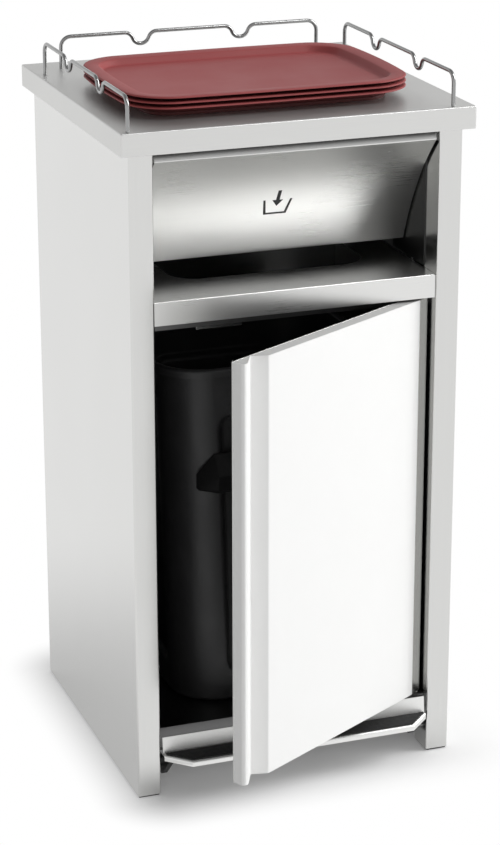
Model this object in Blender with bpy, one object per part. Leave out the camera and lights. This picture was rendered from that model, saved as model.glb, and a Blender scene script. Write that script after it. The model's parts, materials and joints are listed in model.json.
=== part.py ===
"""Self-service waste station: a stainless cabinet with a push flap over a waste bin, a hinged door, a foot pedal
that opens the flap through a push rod, wire guards round the worktop and a stack of serving trays.

Metres, +Z up, +X to the right and +Y to the back as the user stands in front. The floor is z = 0."""

import math

import bmesh
import bpy
from mathutils import Matrix, Vector

# Clearances and stock
CLEAR = 0.0003  # faces that touch on the real station
RUN_CLEAR = 0.0003  # round a pin that turns in its hole
SHEET = 0.0015  # stainless sheet of the cabinet
WIRE_SIDES = 2  # bevel resolution of the guards' wire
ROUND_SIDES = 20  # facets of pins and bores

# Cabinet
BODY_WIDTH = 0.520
BODY_DEPTH = 0.502
FOOT_PROUD = 0.003  # how far the feet stand out below the side panels
WORKTOP_TOP = 1.051
WORKTOP_SKIRT = 0.034
WORKTOP_OVERHANG = 0.015
POST_WIDTH = 0.037
POST_RETURN = 0.046
BACK_FLANGE = 0.022
BACK_PANEL_BOTTOM = 0.055
FOOT_HEIGHT = 0.022
FOOT_LENGTH = 0.043
BASE_TOP = 0.090
BASE_FLANGE = 0.030
SCREW_RADIUS = 0.0045
SCREW_HEIGHT = 0.0026
SCREW_ROWS = (0.140, 0.550, 0.960)

# Sill between the flap and the door, with the door's stop rail behind it
SILL_TOP = 0.793
SILL_FACE = 0.036  # height of its front face
SILL_SETBACK = 0.004  # behind the posts' front faces
SILL_BACK_FLANGE = 0.022
DROP_WIDTH = 0.314  # of the hole in the chute floor, over the bin
DROP_DEPTH = 0.294
DROP_CORNER = 0.045
DROP_CORNER_STEPS = 6
STOP_FLANGE = 0.018
STOP_LIP = 0.022
CATCH_SIZE = (0.072, 0.012, 0.021)
CATCH_FROM_POST = 0.081
CATCH_HANG = 0.005  # below the stop lip

# Chute cheeks and flap
CHEEK_DEPTH = 0.120
CHEEK_GAP = 0.004  # above the sill
FLAP_SIDE_GAP = 0.002
FLAP_TOP_GAP = 0.016  # below the worktop's skirt
FLAP_SETBACK = 0.004
FLAP_DROP = 0.181
FLAP_RUN = 0.1185
FLAP_BOW = 0.012
FLAP_BOW_STEPS = 8
FLAP_TOP_FLANGE = 0.028
FLAP_TOP_LEAN = math.radians(82)  # of that flange, up behind the worktop's skirt
FLAP_FOOT_FLANGE = 0.016
FLAP_FOOT_LEAN = math.radians(38)
FLAP_PIVOT_BACK = 0.0595  # of the flap's axis behind its top edge
FLAP_PIVOT_DOWN = 0.026
FLAP_ARM_SPAN = (0.06, 0.46)  # shares of the face that an arm is welded along
FLAP_ARM_THICKNESS = 0.003
FLAP_ARM_INSET = 0.006
FLAP_BOSS_RADIUS = 0.013
FLAP_PIN_RADIUS = 0.005
BEARING_SIDE = 0.026
BEARING_LENGTH = 0.018

# Push rod in the right post, and the crank it lifts
CRANK_REACH = 0.040
CRANK_THICKNESS = 0.006
CRANK_END_RADIUS = 0.008
CRANK_BOSS_WALL = 0.004
CRANK_WEB = 0.004  # half the height of the web between the crank's boss and its nose
ROD_RADIUS = 0.004
ROD_FROM_CHEEK = 0.0065  # from the cheek's plane to the rod's axis
ROD_GUIDE_HEIGHT = 0.012
ROD_GUIDE_DEPTH = 0.022
ROD_GUIDE_LEVELS = (0.240, 0.700)
BASE_NOTCH = 0.009  # radius of the base panel's hole for the rod

# Pedal
PEDAL_AXIS_SETBACK = 0.033  # behind the posts' front faces
PEDAL_AXIS_Z = 0.032
PEDAL_SIDE_GAP = 0.004
PEDAL_TREAD_Z = 0.070
PEDAL_UPRIGHT_TOP = 0.096
PEDAL_UPRIGHT_SETBACK = 0.0005
PEDAL_REACH = 0.040  # of the tread in front of the posts
PEDAL_CHAMFER_X = 0.035
PEDAL_CHAMFER_Y = 0.0335
PEDAL_LIP = 0.0095
MAT_MARGIN = 0.003
MAT_THICKNESS = 0.002
ARM_THICKNESS = 0.008
ARM_INSET = 0.0065  # from the pedal plate's end
ARM_HEAD_RADIUS = 0.007
ARM_PIVOT_RADIUS = 0.011
ARM_TAIL_RADIUS = 0.013
PEDAL_PIN_RADIUS = 0.005
BALANCE_RADIUS = 0.008
BALANCE_STUB = 0.005  # of the balance bar past the left arm

# Door, in plan from its hinge axis: +x to the hinge side, +y into the cabinet
DOOR_AXIS_INSET = 0.012  # from the right post
DOOR_AXIS_SETBACK = 0.026  # behind the posts' front faces
DOOR_ANGLE = math.radians(30)  # how far it stands open
DOOR_SHEET = 0.0012
DOOR_FACE_Y = -0.0093
DOOR_HINGE_EDGE = 0.007
DOOR_FACET_WIDTH = 0.024  # slightly folded strip along the hinge side
DOOR_FACET_DEPTH = 0.0029
DOOR_THICKNESS = 0.0215
DOOR_SIDE_GAP = 0.003  # from the free edge to the left post
DOOR_TOP_GAP = 0.004
DOOR_FOOT_GAP = 0.0025
GROOVE_WIDTH = 0.046
GROOVE_LINER_GAP = 0.0011  # between the groove's deepest line and the liner, besides the sheets
GROOVE_FLOOR = 0.0195  # of its deepest line from the face's edge
NOSE_WIDTH = 0.010
NOSE_CHAMFER = 0.0035
NOSE_DEPTH = 0.0043
DOOR_PIN_RADIUS = 0.003
DOOR_PIN_DEPTH = 0.016
BUSH_RADIUS = 0.0065
STOP_GAP = 0.0123  # from the shut door's back to the stop lip
KEEPER_GAP = 0.0005  # from the strike block to the stop lip
KEEPER_HEIGHT = 0.022
BRACKET_SHEET = 0.002
BRACKET_REACH = 0.024
BRACKET_DROP = 0.026
BRACKET_WIDTH = 0.026

# Bin
BIN_TOP = 0.652
BIN_TOP_HALF = (0.174, 0.164)
BIN_FOOT_HALF = (0.150, 0.145)
BIN_CENTRE_Y = 0.0
BIN_CORNER = 0.072
BIN_CORNER_STEPS = 5
BIN_WALL = 0.003
BIN_RIM = 0.006
BIN_RIM_HEIGHT = 0.010
BIN_RECESS_INSET = 0.004  # from the end of a corner's round to the recess beside it, at the bin's foot
BIN_RECESS_DEPTH = 0.010
BIN_RECESS_SLOPE = 0.010
BIN_RECESS_LOW = 0.075  # above the bin's foot
BIN_RECESS_HIGH = 0.095  # below its rim
BIN_RECESS_RAMP = 0.020
BIN_HANDLE_SEAT = 0.047  # of each end on the wall beside the recess
BIN_HANDLE_TAPER = 0.028
BIN_HANDLE_LEVEL = 0.458
BIN_HANDLE_LIP = 0.028  # height of the grip's front
BIN_HANDLE_HOOD = 0.030  # of the slope above it, back to the wall
BIN_HANDLE_PROUD = 0.026
BIN_HANDLE_EDGE = 0.005
BIN_HANDLE_HOOD_PROUD = 0.002

# Wire guards, all three bent alike
GUARD_WIRE = 0.006
GUARD_LENGTH = 0.430
GUARD_HEIGHT = 0.0505
GUARD_CORNER = 0.016
GUARD_DIP_OFFSET = 0.0835
GUARD_DIP_HALF = 0.0172
GUARD_DIP_DEPTH = 0.0186
GUARD_DIP_FLOOR = 0.0097
GUARD_BEND = 0.0138
GUARD_ARC_STEPS = 5
GUARD_LEFT_INSET = 0.013  # from the worktop's edge, as the next three
GUARD_RIGHT_INSET = 0.035
GUARD_BACK_INSET = 0.058
GUARD_FRONT_INSET = 0.008
GUARD_BACK_X = -0.0105

# Trays
TRAY_COUNT = 3
TRAY_WIDTH = 0.430
TRAY_DEPTH = 0.330
TRAY_CENTRE = (-0.0115, -0.044)
TRAY_CORNER = 0.062
TRAY_CORNER_STEPS = 7
TRAY_WALL = 0.003
TRAY_RIM = 0.020
TRAY_SLOPE = 0.017
TRAY_WELL = 0.0105
TRAY_FOOT = 0.0045  # height of the foot ring
TRAY_FOOT_WIDTH = 0.006
TRAY_EDGE = 0.0015  # how far the rim's outer edge turns down

STAINLESS, SATIN_DARK, WHITE_DOOR = "stainless_sheet", "stainless_inner", "door_sheet"
CHROME, RUBBER, BLACK_PAINT = "chrome_wire", "rubber", "black_paint"
NYLON, WHITE_NYLON, BIN_PLASTIC, TRAY_RESIN = "nylon", "white_nylon", "bin_plastic", "tray_resin"
FINISHES = {
    STAINLESS: ((0.80, 0.80, 0.80), 0.32, 1.0),
    SATIN_DARK: ((0.62, 0.62, 0.62), 0.36, 1.0),
    WHITE_DOOR: ((0.90, 0.90, 0.89), 0.35, 0.0),
    CHROME: ((0.78, 0.78, 0.78), 0.12, 1.0),
    RUBBER: ((0.02, 0.02, 0.02), 0.75, 0.0),
    BLACK_PAINT: ((0.02, 0.02, 0.02), 0.42, 0.0),
    NYLON: ((0.03, 0.03, 0.03), 0.50, 0.0),
    WHITE_NYLON: ((0.82, 0.82, 0.80), 0.45, 0.0),
    BIN_PLASTIC: ((0.025, 0.025, 0.027), 0.45, 0.0),
    TRAY_RESIN: ((0.36, 0.11, 0.12), 0.48, 0.0),
}

# Places that several pieces share
HALF_WIDTH = BODY_WIDTH / 2
FRONT_Y = -BODY_DEPTH / 2
BACK_Y = BODY_DEPTH / 2
INNER_X = HALF_WIDTH - SHEET  # inside face of a side panel
MOUTH_X = HALF_WIDTH - POST_WIDTH  # inside face of a post
RETURN_Y = FRONT_Y + POST_RETURN  # where a post's return ends
WORKTOP_UNDER = WORKTOP_TOP - SHEET
PANEL_TOP = WORKTOP_UNDER - CLEAR
BACK_PANEL_Y = BACK_Y - SHEET - CLEAR  # rear face of the back panel
SILL_Y = FRONT_Y + SILL_SETBACK
SILL_BOTTOM = SILL_TOP - SILL_FACE
CHEEK_Y = RETURN_Y + CLEAR
CHEEK_INNER = MOUTH_X - SHEET
FLAP_HALF = CHEEK_INNER - FLAP_SIDE_GAP
FLAP_TOP = (FRONT_Y + FLAP_SETBACK, WORKTOP_TOP - WORKTOP_SKIRT - FLAP_TOP_GAP)
FLAP_AXIS = (FLAP_TOP[0] + FLAP_PIVOT_BACK, FLAP_TOP[1] - FLAP_PIVOT_DOWN)
PEDAL_AXIS = (FRONT_Y + PEDAL_AXIS_SETBACK, PEDAL_AXIS_Z)
PEDAL_WIDTH = 2 * (MOUTH_X - PEDAL_SIDE_GAP)
PEDAL_UPRIGHT_Y = FRONT_Y + PEDAL_UPRIGHT_SETBACK
PEDAL_FRONT_Y = FRONT_Y - PEDAL_REACH
DOOR_AXIS = (MOUTH_X - DOOR_AXIS_INSET, FRONT_Y + DOOR_AXIS_SETBACK)
CATCH_LEFT = CATCH_FROM_POST - MOUTH_X
ROD_X = MOUTH_X + ROD_FROM_CHEEK
ROD_Y = FLAP_AXIS[0] + CRANK_REACH
DOOR_TOP = SILL_BOTTOM - DOOR_TOP_GAP
DOOR_FOOT = PEDAL_UPRIGHT_TOP + DOOR_FOOT_GAP
DOOR_BACK_Y = DOOR_FACE_Y + DOOR_THICKNESS
DOOR_FREE_EDGE = -MOUTH_X + DOOR_SIDE_GAP - DOOR_AXIS[0]
STOP_Y = DOOR_AXIS[1] + DOOR_BACK_Y + STOP_GAP  # front face of the stop lip
TRAY_PITCH = TRAY_FOOT + TRAY_WALL + CLEAR


def clear_scene():
    for obj in list(bpy.data.objects):
        bpy.data.objects.remove(obj)


def make_materials():
    for name, (colour, roughness, metallic) in FINISHES.items():
        material = bpy.data.materials.new(name)
        material.use_nodes = True
        shader = material.node_tree.nodes["Principled BSDF"]
        shader.inputs["Base Color"].default_value = (*colour, 1)
        shader.inputs["Roughness"].default_value = roughness
        shader.inputs["Metallic"].default_value = metallic


def attach(obj, parent):
    """Parents an object. Only pieces of the door are drawn in their parent's frame, the rest in the station's."""
    bpy.context.scene.collection.objects.link(obj)
    obj.parent = parent
    if parent and not parent.get("own_frame"):
        obj.matrix_parent_inverse = parent.matrix_basis.inverted()


def joint_empty(name, location, parent):
    """An empty on a joint's axis, which carries the pieces that move there."""
    obj = bpy.data.objects.new(name, None)
    obj.location = location
    attach(obj, parent)
    bpy.context.view_layer.update()
    return obj


def add_mesh(name, bm, finish, parent, smooth_degrees=None):
    """A named object from a bmesh, with its faces turned outwards."""
    bmesh.ops.recalc_face_normals(bm, faces=bm.faces)
    mesh = bpy.data.meshes.new(name)
    bm.to_mesh(mesh)
    bm.free()
    if smooth_degrees:
        mesh.shade_smooth()
        mesh.set_sharp_from_angle(angle=math.radians(smooth_degrees))
    obj = bpy.data.objects.new(name, mesh)
    attach(obj, parent)
    if finish:
        mesh.materials.append(bpy.data.materials[finish])
    return obj


def prism(outline, axis, low, high):
    """A bmesh of a closed 2-D outline pulled along an axis: the outline is (y, z) on "X" and (x, y) on "Z"."""
    bm = bmesh.new()
    if axis == "X":
        verts = [bm.verts.new((low, a, b)) for a, b in outline]
        pull = Vector((high - low, 0, 0))
    elif axis == "Y":
        verts = [bm.verts.new((a, low, b)) for a, b in outline]
        pull = Vector((0, high - low, 0))
    else:
        verts = [bm.verts.new((a, b, low)) for a, b in outline]
        pull = Vector((0, 0, high - low))
    face = bm.faces.new(verts)
    pulled = bmesh.ops.extrude_face_region(bm, geom=[face])["geom"]
    bmesh.ops.translate(bm, vec=pull, verts=[v for v in pulled if isinstance(v, bmesh.types.BMVert)])
    return bm


def block(low, high):
    outline = [(low[0], low[1]), (high[0], low[1]), (high[0], high[1]), (low[0], high[1])]
    return prism(outline, "Z", low[2], high[2])


def folded(path, thickness):
    """Outline of a folded sheet: the path is one face of the sheet, and the other lies to the left of it."""
    points = [Vector(p) for p in path]
    normals = []
    for a, b in zip(points, points[1:]):
        along = (b - a).normalized()
        normals.append(Vector((-along.y, along.x)))
    other = [points[0] + normals[0] * thickness]
    for point, before, after in zip(points[1:], normals, normals[1:]):
        mitre = (before + after).normalized()
        other.append(point + mitre * (thickness / mitre.dot(before)))
    other.append(points[-1] + normals[-1] * thickness)
    return [tuple(p) for p in points + other[::-1]]


def circle(centre, radius, sides=ROUND_SIDES, start=0.0, turn=2 * math.pi):
    whole = math.isclose(turn, 2 * math.pi)
    steps = sides if whole else sides - 1
    angles = [start + turn * i / steps for i in range(sides)]
    return [(centre[0] + radius * math.cos(a), centre[1] + radius * math.sin(a)) for a in angles]


def hull_plate(circles, low, high):
    """A plate from x = low to x = high, round which a tight band on circles ((y, z), radius) would run."""
    bm = bmesh.new()
    for centre, radius in circles:
        for a, b in circle(centre, radius):
            bm.verts.new((low, a, b))
            bm.verts.new((high, a, b))
    bmesh.ops.convex_hull(bm, input=bm.verts)
    bmesh.ops.dissolve_limit(bm, angle_limit=math.radians(1), verts=bm.verts, edges=bm.edges)
    return bm


def rod(axis, centre, radius, low, high):
    """A round bar along X or Z. The centre is (y, z) on "X" and (x, y) on "Z"."""
    return prism(circle(centre, radius), axis, low, high)


def cut(obj, bm, name, operation="DIFFERENCE"):
    """Cuts a hidden helper out of an object, or joins it on."""
    helper = add_mesh(name, bm, None, obj.parent)
    helper.hide_render = True
    helper.display_type = "WIRE"
    modifier = obj.modifiers.new(name, "BOOLEAN")
    modifier.operation = operation
    modifier.solver = "EXACT"
    modifier.object = helper


def bore(obj, name, axis, centre, radius, low, high):
    cut(obj, rod(axis, centre, radius, low, high), name)


def mirrored(outline):
    return [(-a, b) for a, b in outline]


def arc_corner(before, corner, after, radius, steps):
    """Points of an arc that rounds a corner of a path."""
    corner = Vector(corner)
    to_before = (Vector(before) - corner).normalized()
    to_after = (Vector(after) - corner).normalized()
    half = to_before.angle(to_after) / 2
    bisector = (to_before + to_after).normalized()
    centre = corner + bisector * (radius / math.sin(half))
    first = corner + to_before * (radius / math.tan(half)) - centre
    last = corner + to_after * (radius / math.tan(half)) - centre
    sweep = first.angle(last)
    axis_turn = 1 if first.x * last.y - first.y * last.x > 0 else -1
    spin = [Matrix.Rotation(axis_turn * sweep * i / steps, 2) for i in range(steps + 1)]
    return [centre + turn @ first for turn in spin]


def rounded_path(corners, radii, steps):
    """A path with arcs at its inner corners."""
    path = [Vector(corners[0])]
    for i, radius in enumerate(radii, start=1):
        path += arc_corner(corners[i - 1], corners[i], corners[i + 1], radius, steps)
    return path + [Vector(corners[-1])]


def rounded_rectangle(half_x, half_y, radius, steps):
    points = []
    for quarter, (sx, sy) in enumerate(((1, 1), (-1, 1), (-1, -1), (1, -1))):
        centre = (sx * (half_x - radius), sy * (half_y - radius))
        points += circle(centre, radius, steps + 1, quarter * math.pi / 2, math.pi / 2)
    return points


def stacked(loops):
    """A closed bmesh through loops of equal counts, each a list of 3-D points, with the first and last filled."""
    bm = bmesh.new()
    rings = [[bm.verts.new(p) for p in loop] for loop in loops]
    for lower, upper in zip(rings, rings[1:]):
        for i in range(len(lower)):
            j = (i + 1) % len(lower)
            bm.faces.new((lower[i], lower[j], upper[j], upper[i]))
    bm.faces.new(rings[0])
    bm.faces.new(rings[-1])
    return bm


# Cabinet
def side_panel_outline():
    path = [
        (MOUTH_X, RETURN_Y),
        (MOUTH_X, FRONT_Y),
        (HALF_WIDTH, FRONT_Y),
        (HALF_WIDTH, BACK_Y),
        (HALF_WIDTH - BACK_FLANGE, BACK_Y),
    ]
    return folded(path, SHEET)


def side_panels(root):
    hole = PEDAL_PIN_RADIUS + RUN_CLEAR
    for side, sign in (("left", -1), ("right", 1)):
        outline = side_panel_outline() if sign > 0 else mirrored(side_panel_outline())
        panel = add_mesh(f"{side}_side_panel", prism(outline, "Z", FOOT_PROUD, PANEL_TOP), STAINLESS, root)
        reach = sorted((sign * (MOUTH_X - SHEET), sign * (MOUTH_X + 2 * SHEET)))
        bore(panel, f"{side}_pedal_pin_hole", "X", PEDAL_AXIS, hole, *reach)


def back_panel(root):
    edge = INNER_X - CLEAR
    low = (-edge, BACK_PANEL_Y - SHEET, BACK_PANEL_BOTTOM)
    add_mesh("back_panel", block(low, (edge, BACK_PANEL_Y, PANEL_TOP)), STAINLESS, root)


def back_screws(root):
    """Round heads that hold the back panel to the side panels' rear flanges."""
    for row, z in enumerate(SCREW_ROWS, start=1):
        for side, sign in (("left", -1), ("right", 1)):
            x = sign * (HALF_WIDTH - BACK_FLANGE / 2)
            base = BACK_Y + CLEAR
            rings = []
            for radius, height in ((1.0, 0.0), (1.0, 0.35), (0.72, 0.85), (0.35, 1.0)):
                ring = circle((x, z), SCREW_RADIUS * radius, 12)
                rings.append([(a, base + SCREW_HEIGHT * height, b) for a, b in ring])
            add_mesh(f"back_screw_{side}_{row}", stacked(rings), CHROME, root, 40)


def base_panel(root):
    front = RETURN_Y + SHEET + CLEAR
    back = BACK_PANEL_Y - SHEET - CLEAR
    edge = INNER_X - CLEAR
    path = [
        (front, BASE_TOP - BASE_FLANGE),
        (front, BASE_TOP),
        (back, BASE_TOP),
        (back, BASE_TOP - BASE_FLANGE),
    ]
    outline = folded(path[::-1], SHEET)
    panel = add_mesh("base_panel", prism(outline, "X", -edge, edge), SATIN_DARK, root)
    bore(panel, "base_rod_hole", "Z", (ROD_X, ROD_Y), BASE_NOTCH, BASE_TOP - BASE_FLANGE, BASE_TOP + SHEET)


def feet(root):
    """Plugs in the corners of the side panels, which stand on the floor."""
    inner = MOUTH_X + SHEET + CLEAR
    outer = INNER_X - CLEAR
    front = FRONT_Y + SHEET + CLEAR
    back = BACK_PANEL_Y - SHEET - CLEAR
    for side, sign in (("left", -1), ("right", 1)):
        for place, low, high in (("front", front, front + FOOT_LENGTH), ("back", back - FOOT_LENGTH, back)):
            near, far = sorted((sign * inner, sign * outer))
            bm = block((near, low, 0), (far, high, FOOT_HEIGHT))
            add_mesh(f"{place}_{side}_foot", bm, NYLON, root)


def worktop(root):
    """A folded top: its skirt hangs all round, clear of the cabinet by the overhang."""
    half_x = HALF_WIDTH + WORKTOP_OVERHANG
    half_y = BODY_DEPTH / 2 + WORKTOP_OVERHANG
    low = WORKTOP_TOP - WORKTOP_SKIRT
    levels = (
        (half_x - SHEET, half_y - SHEET, WORKTOP_UNDER),
        (half_x - SHEET, half_y - SHEET, low),
        (half_x, half_y, low),
        (half_x, half_y, WORKTOP_TOP),
    )
    loops = []
    for x, y, z in levels:
        loops.append([(x, y, z), (-x, y, z), (-x, -y, z), (x, -y, z)])
    add_mesh("worktop", stacked(loops), STAINLESS, root)


def sill(root):
    """Front face and chute floor in one sheet, with a round-cornered drop hole over the bin and a rear flange."""
    edge = MOUTH_X - CLEAR
    back = BACK_PANEL_Y - SHEET - CLEAR
    path = [
        (SILL_Y, SILL_BOTTOM),
        (SILL_Y, SILL_TOP),
        (back, SILL_TOP),
        (back, SILL_TOP - SILL_BACK_FLANGE),
    ]
    outline = folded(path[::-1], SHEET)
    floor = add_mesh("sill", prism(outline, "X", -edge, edge), STAINLESS, root)
    hole = rounded_rectangle(DROP_WIDTH / 2, DROP_DEPTH / 2, DROP_CORNER, DROP_CORNER_STEPS)
    hole = [(x, y + BIN_CENTRE_Y) for x, y in hole]
    cut(floor, prism(hole, "Z", SILL_TOP - 2 * SHEET, SILL_TOP + SHEET), "drop_hole")


def stop_rail(root):
    """Angle under the sill: the door's top pivot turns in it and the door shuts against its lip."""
    edge = MOUTH_X - CLEAR
    front = SILL_Y + SHEET + CLEAR
    path = [
        (front, SILL_BOTTOM + STOP_FLANGE),
        (front, SILL_BOTTOM),
        (STOP_Y, SILL_BOTTOM),
        (STOP_Y, SILL_BOTTOM - STOP_LIP),
    ]
    outline = folded(path, SHEET)
    rail = add_mesh("door_stop_rail", prism(outline, "X", -edge, edge), SATIN_DARK, root)
    hole = DOOR_PIN_RADIUS + RUN_CLEAR
    bore(rail, "top_pivot_hole", "Z", DOOR_AXIS, hole, SILL_BOTTOM - SHEET, SILL_BOTTOM + 2 * SHEET)


def magnetic_catch(root):
    length, depth, height = CATCH_SIZE
    low = SILL_BOTTOM - STOP_LIP - CATCH_HANG
    back = STOP_Y + SHEET + CLEAR
    bm = block((CATCH_LEFT, back, low), (CATCH_LEFT + length, back + depth, low + height))
    add_mesh("magnetic_catch", bm, CHROME, root)


# Flap
def flap_face(share, inset=0.0):
    """A point (y, z) of the flap's curved face, by its share of the way down, set back from the face by inset."""
    along = Vector((FLAP_RUN, -FLAP_DROP))
    back = Vector((FLAP_DROP, FLAP_RUN)).normalized()
    bow = FLAP_BOW * 4 * share * (1 - share)
    return Vector(FLAP_TOP) + along * share + back * (bow + inset)


def chute_cheeks(root):
    """Side walls of the chute, in line with the posts, where the flap's pins pass through."""
    for side, sign in (("left", -1), ("right", 1)):
        near, far = sorted((sign * CHEEK_INNER, sign * MOUTH_X))
        low = (near, CHEEK_Y, SILL_TOP + CHEEK_GAP)
        cheek = add_mesh(
            f"{side}_chute_cheek", block(low, (far, CHEEK_Y + CHEEK_DEPTH, PANEL_TOP)), SATIN_DARK, root
        )
        hole = FLAP_PIN_RADIUS + RUN_CLEAR
        bore(cheek, f"{side}_cheek_hole", "X", FLAP_AXIS, hole, near - SHEET, far + SHEET)


def flap_bearings(root):
    half = BEARING_SIDE / 2
    y, z = FLAP_AXIS
    for side, sign in (("left", -1), ("right", 1)):
        near, far = sorted((sign * (INNER_X - CLEAR - BEARING_LENGTH), sign * (INNER_X - CLEAR)))
        bm = block((near, y - half, z - half), (far, y + half, z + half))
        bearing = add_mesh(f"{side}_flap_bearing", bm, NYLON, root)
        hole = FLAP_PIN_RADIUS + RUN_CLEAR
        bore(bearing, f"{side}_bearing_bore", "X", FLAP_AXIS, hole, near - SHEET, far + SHEET)


def flap_sheet(parent):
    top = Vector(FLAP_TOP)
    face = [flap_face(i / FLAP_BOW_STEPS) for i in range(FLAP_BOW_STEPS + 1)]
    foot = face[-1] + Vector((math.sin(FLAP_FOOT_LEAN), math.cos(FLAP_FOOT_LEAN))) * FLAP_FOOT_FLANGE
    path = [top + Vector((math.cos(FLAP_TOP_LEAN), math.sin(FLAP_TOP_LEAN))) * FLAP_TOP_FLANGE, *face, foot]
    add_mesh("flap", prism(folded(path, SHEET), "X", -FLAP_HALF, FLAP_HALF), STAINLESS, parent, 20)


def flap_arms(parent):
    """Plates behind the flap's ends that hang it on its pins."""
    first, last = FLAP_ARM_SPAN
    inset = SHEET + CLEAR
    shares = [first + (last - first) * i / 5 for i in range(6)]
    edge = [tuple(flap_face(share, inset)) for share in shares]
    boss = circle(FLAP_AXIS, FLAP_BOSS_RADIUS, 12, math.radians(-60), math.radians(150))
    for side, sign in (("left", -1), ("right", 1)):
        outer = FLAP_HALF - FLAP_ARM_INSET
        near, far = sorted((sign * (outer - FLAP_ARM_THICKNESS), sign * outer))
        arm = add_mesh(f"{side}_flap_arm", prism(edge + boss, "X", near, far), SATIN_DARK, parent)
        hole = FLAP_PIN_RADIUS + RUN_CLEAR
        bore(arm, f"{side}_flap_arm_hole", "X", FLAP_AXIS, hole, near - SHEET, far + SHEET)


def flap_pins(parent):
    inner = FLAP_HALF - FLAP_ARM_INSET - 2 * FLAP_ARM_THICKNESS
    outer = INNER_X - 2 * CLEAR
    for side, sign in (("left", -1), ("right", 1)):
        low, high = sorted((sign * inner, sign * outer))
        add_mesh(f"{side}_flap_pin", rod("X", FLAP_AXIS, FLAP_PIN_RADIUS, low, high), CHROME, parent, 40)


def flap_crank(parent):
    """Lever on the right pin that the push rod lifts."""
    middle = ROD_X
    low, high = middle - CRANK_THICKNESS / 2, middle + CRANK_THICKNESS / 2
    tip = (ROD_Y, FLAP_AXIS[1])
    bm = hull_plate([(FLAP_AXIS, CRANK_WEB), (tip, CRANK_WEB)], low, high)
    crank = add_mesh("flap_crank", bm, CHROME, parent)
    cut(crank, rod("X", FLAP_AXIS, FLAP_PIN_RADIUS + CRANK_BOSS_WALL, low, high), "crank_boss", "UNION")
    cut(crank, rod("X", tip, CRANK_END_RADIUS, low, high), "crank_nose", "UNION")
    hole = FLAP_PIN_RADIUS + RUN_CLEAR
    bore(crank, "crank_hole", "X", FLAP_AXIS, hole, low - SHEET, high + SHEET)


# Push rod
def push_rod(parent):
    low = PEDAL_AXIS[1] + BALANCE_RADIUS + CLEAR
    high = FLAP_AXIS[1] - CRANK_END_RADIUS - CLEAR
    add_mesh("push_rod", rod("Z", (ROD_X, ROD_Y), ROD_RADIUS, low, high), CHROME, parent, 40)


def rod_guides(root):
    low_x, high_x = MOUTH_X, INNER_X - CLEAR
    for name, z in zip(("lower", "upper"), ROD_GUIDE_LEVELS):
        low = (low_x, ROD_Y - ROD_GUIDE_DEPTH / 2, z)
        high = (high_x, ROD_Y + ROD_GUIDE_DEPTH / 2, z + ROD_GUIDE_HEIGHT)
        guide = add_mesh(f"{name}_rod_guide", block(low, high), NYLON, root)
        hole = ROD_RADIUS + RUN_CLEAR
        bore(guide, f"{name}_guide_bore", "Z", (ROD_X, ROD_Y), hole, z - SHEET, z + ROD_GUIDE_HEIGHT + SHEET)


# Pedal
def tread_outline(margin=0.0):
    """Plan of the tread, with its front corners cut off, drawn in from the edge by margin."""
    half = PEDAL_WIDTH / 2 - margin
    front = PEDAL_FRONT_Y + margin
    back = PEDAL_UPRIGHT_Y - margin
    lean = margin * math.tan(math.atan2(PEDAL_CHAMFER_Y, PEDAL_CHAMFER_X) / 2)
    cut_x = PEDAL_WIDTH / 2 - PEDAL_CHAMFER_X - lean
    cut_y = PEDAL_FRONT_Y + PEDAL_CHAMFER_Y + margin * 0.4
    return [(half, back), (half, cut_y), (cut_x, front), (-cut_x, front), (-half, cut_y), (-half, back)]


def pedal_plate(parent):
    """One folded sheet: an upright under the door, the tread in front of it and a lip round the tread."""
    outline = tread_outline()
    bm = bmesh.new()
    tread = [bm.verts.new((x, y, PEDAL_TREAD_Z)) for x, y in outline]
    bm.faces.new(tread)
    lip = [bm.verts.new((x, y, PEDAL_TREAD_Z - PEDAL_LIP)) for x, y in outline[1:5]]
    for i in range(3):
        bm.faces.new((tread[i + 1], tread[i + 2], lip[i + 1], lip[i]))
    upright = [bm.verts.new((x, PEDAL_UPRIGHT_Y, PEDAL_UPRIGHT_TOP)) for x in (outline[0][0], outline[-1][0])]
    bm.faces.new((tread[0], tread[-1], upright[1], upright[0]))
    obj = add_mesh("pedal_plate", bm, STAINLESS, parent)
    faces_up = max(face.normal.z for face in obj.data.polygons) > 0.5
    wall = obj.modifiers.new("sheet", "SOLIDIFY")
    wall.thickness = SHEET
    wall.offset = -1 if faces_up else 1
    wall.use_even_offset = True


def pedal_mat(parent):
    low = PEDAL_TREAD_Z + CLEAR
    add_mesh("pedal_mat", prism(tread_outline(MAT_MARGIN), "Z", low, low + MAT_THICKNESS), RUBBER, parent)


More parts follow.
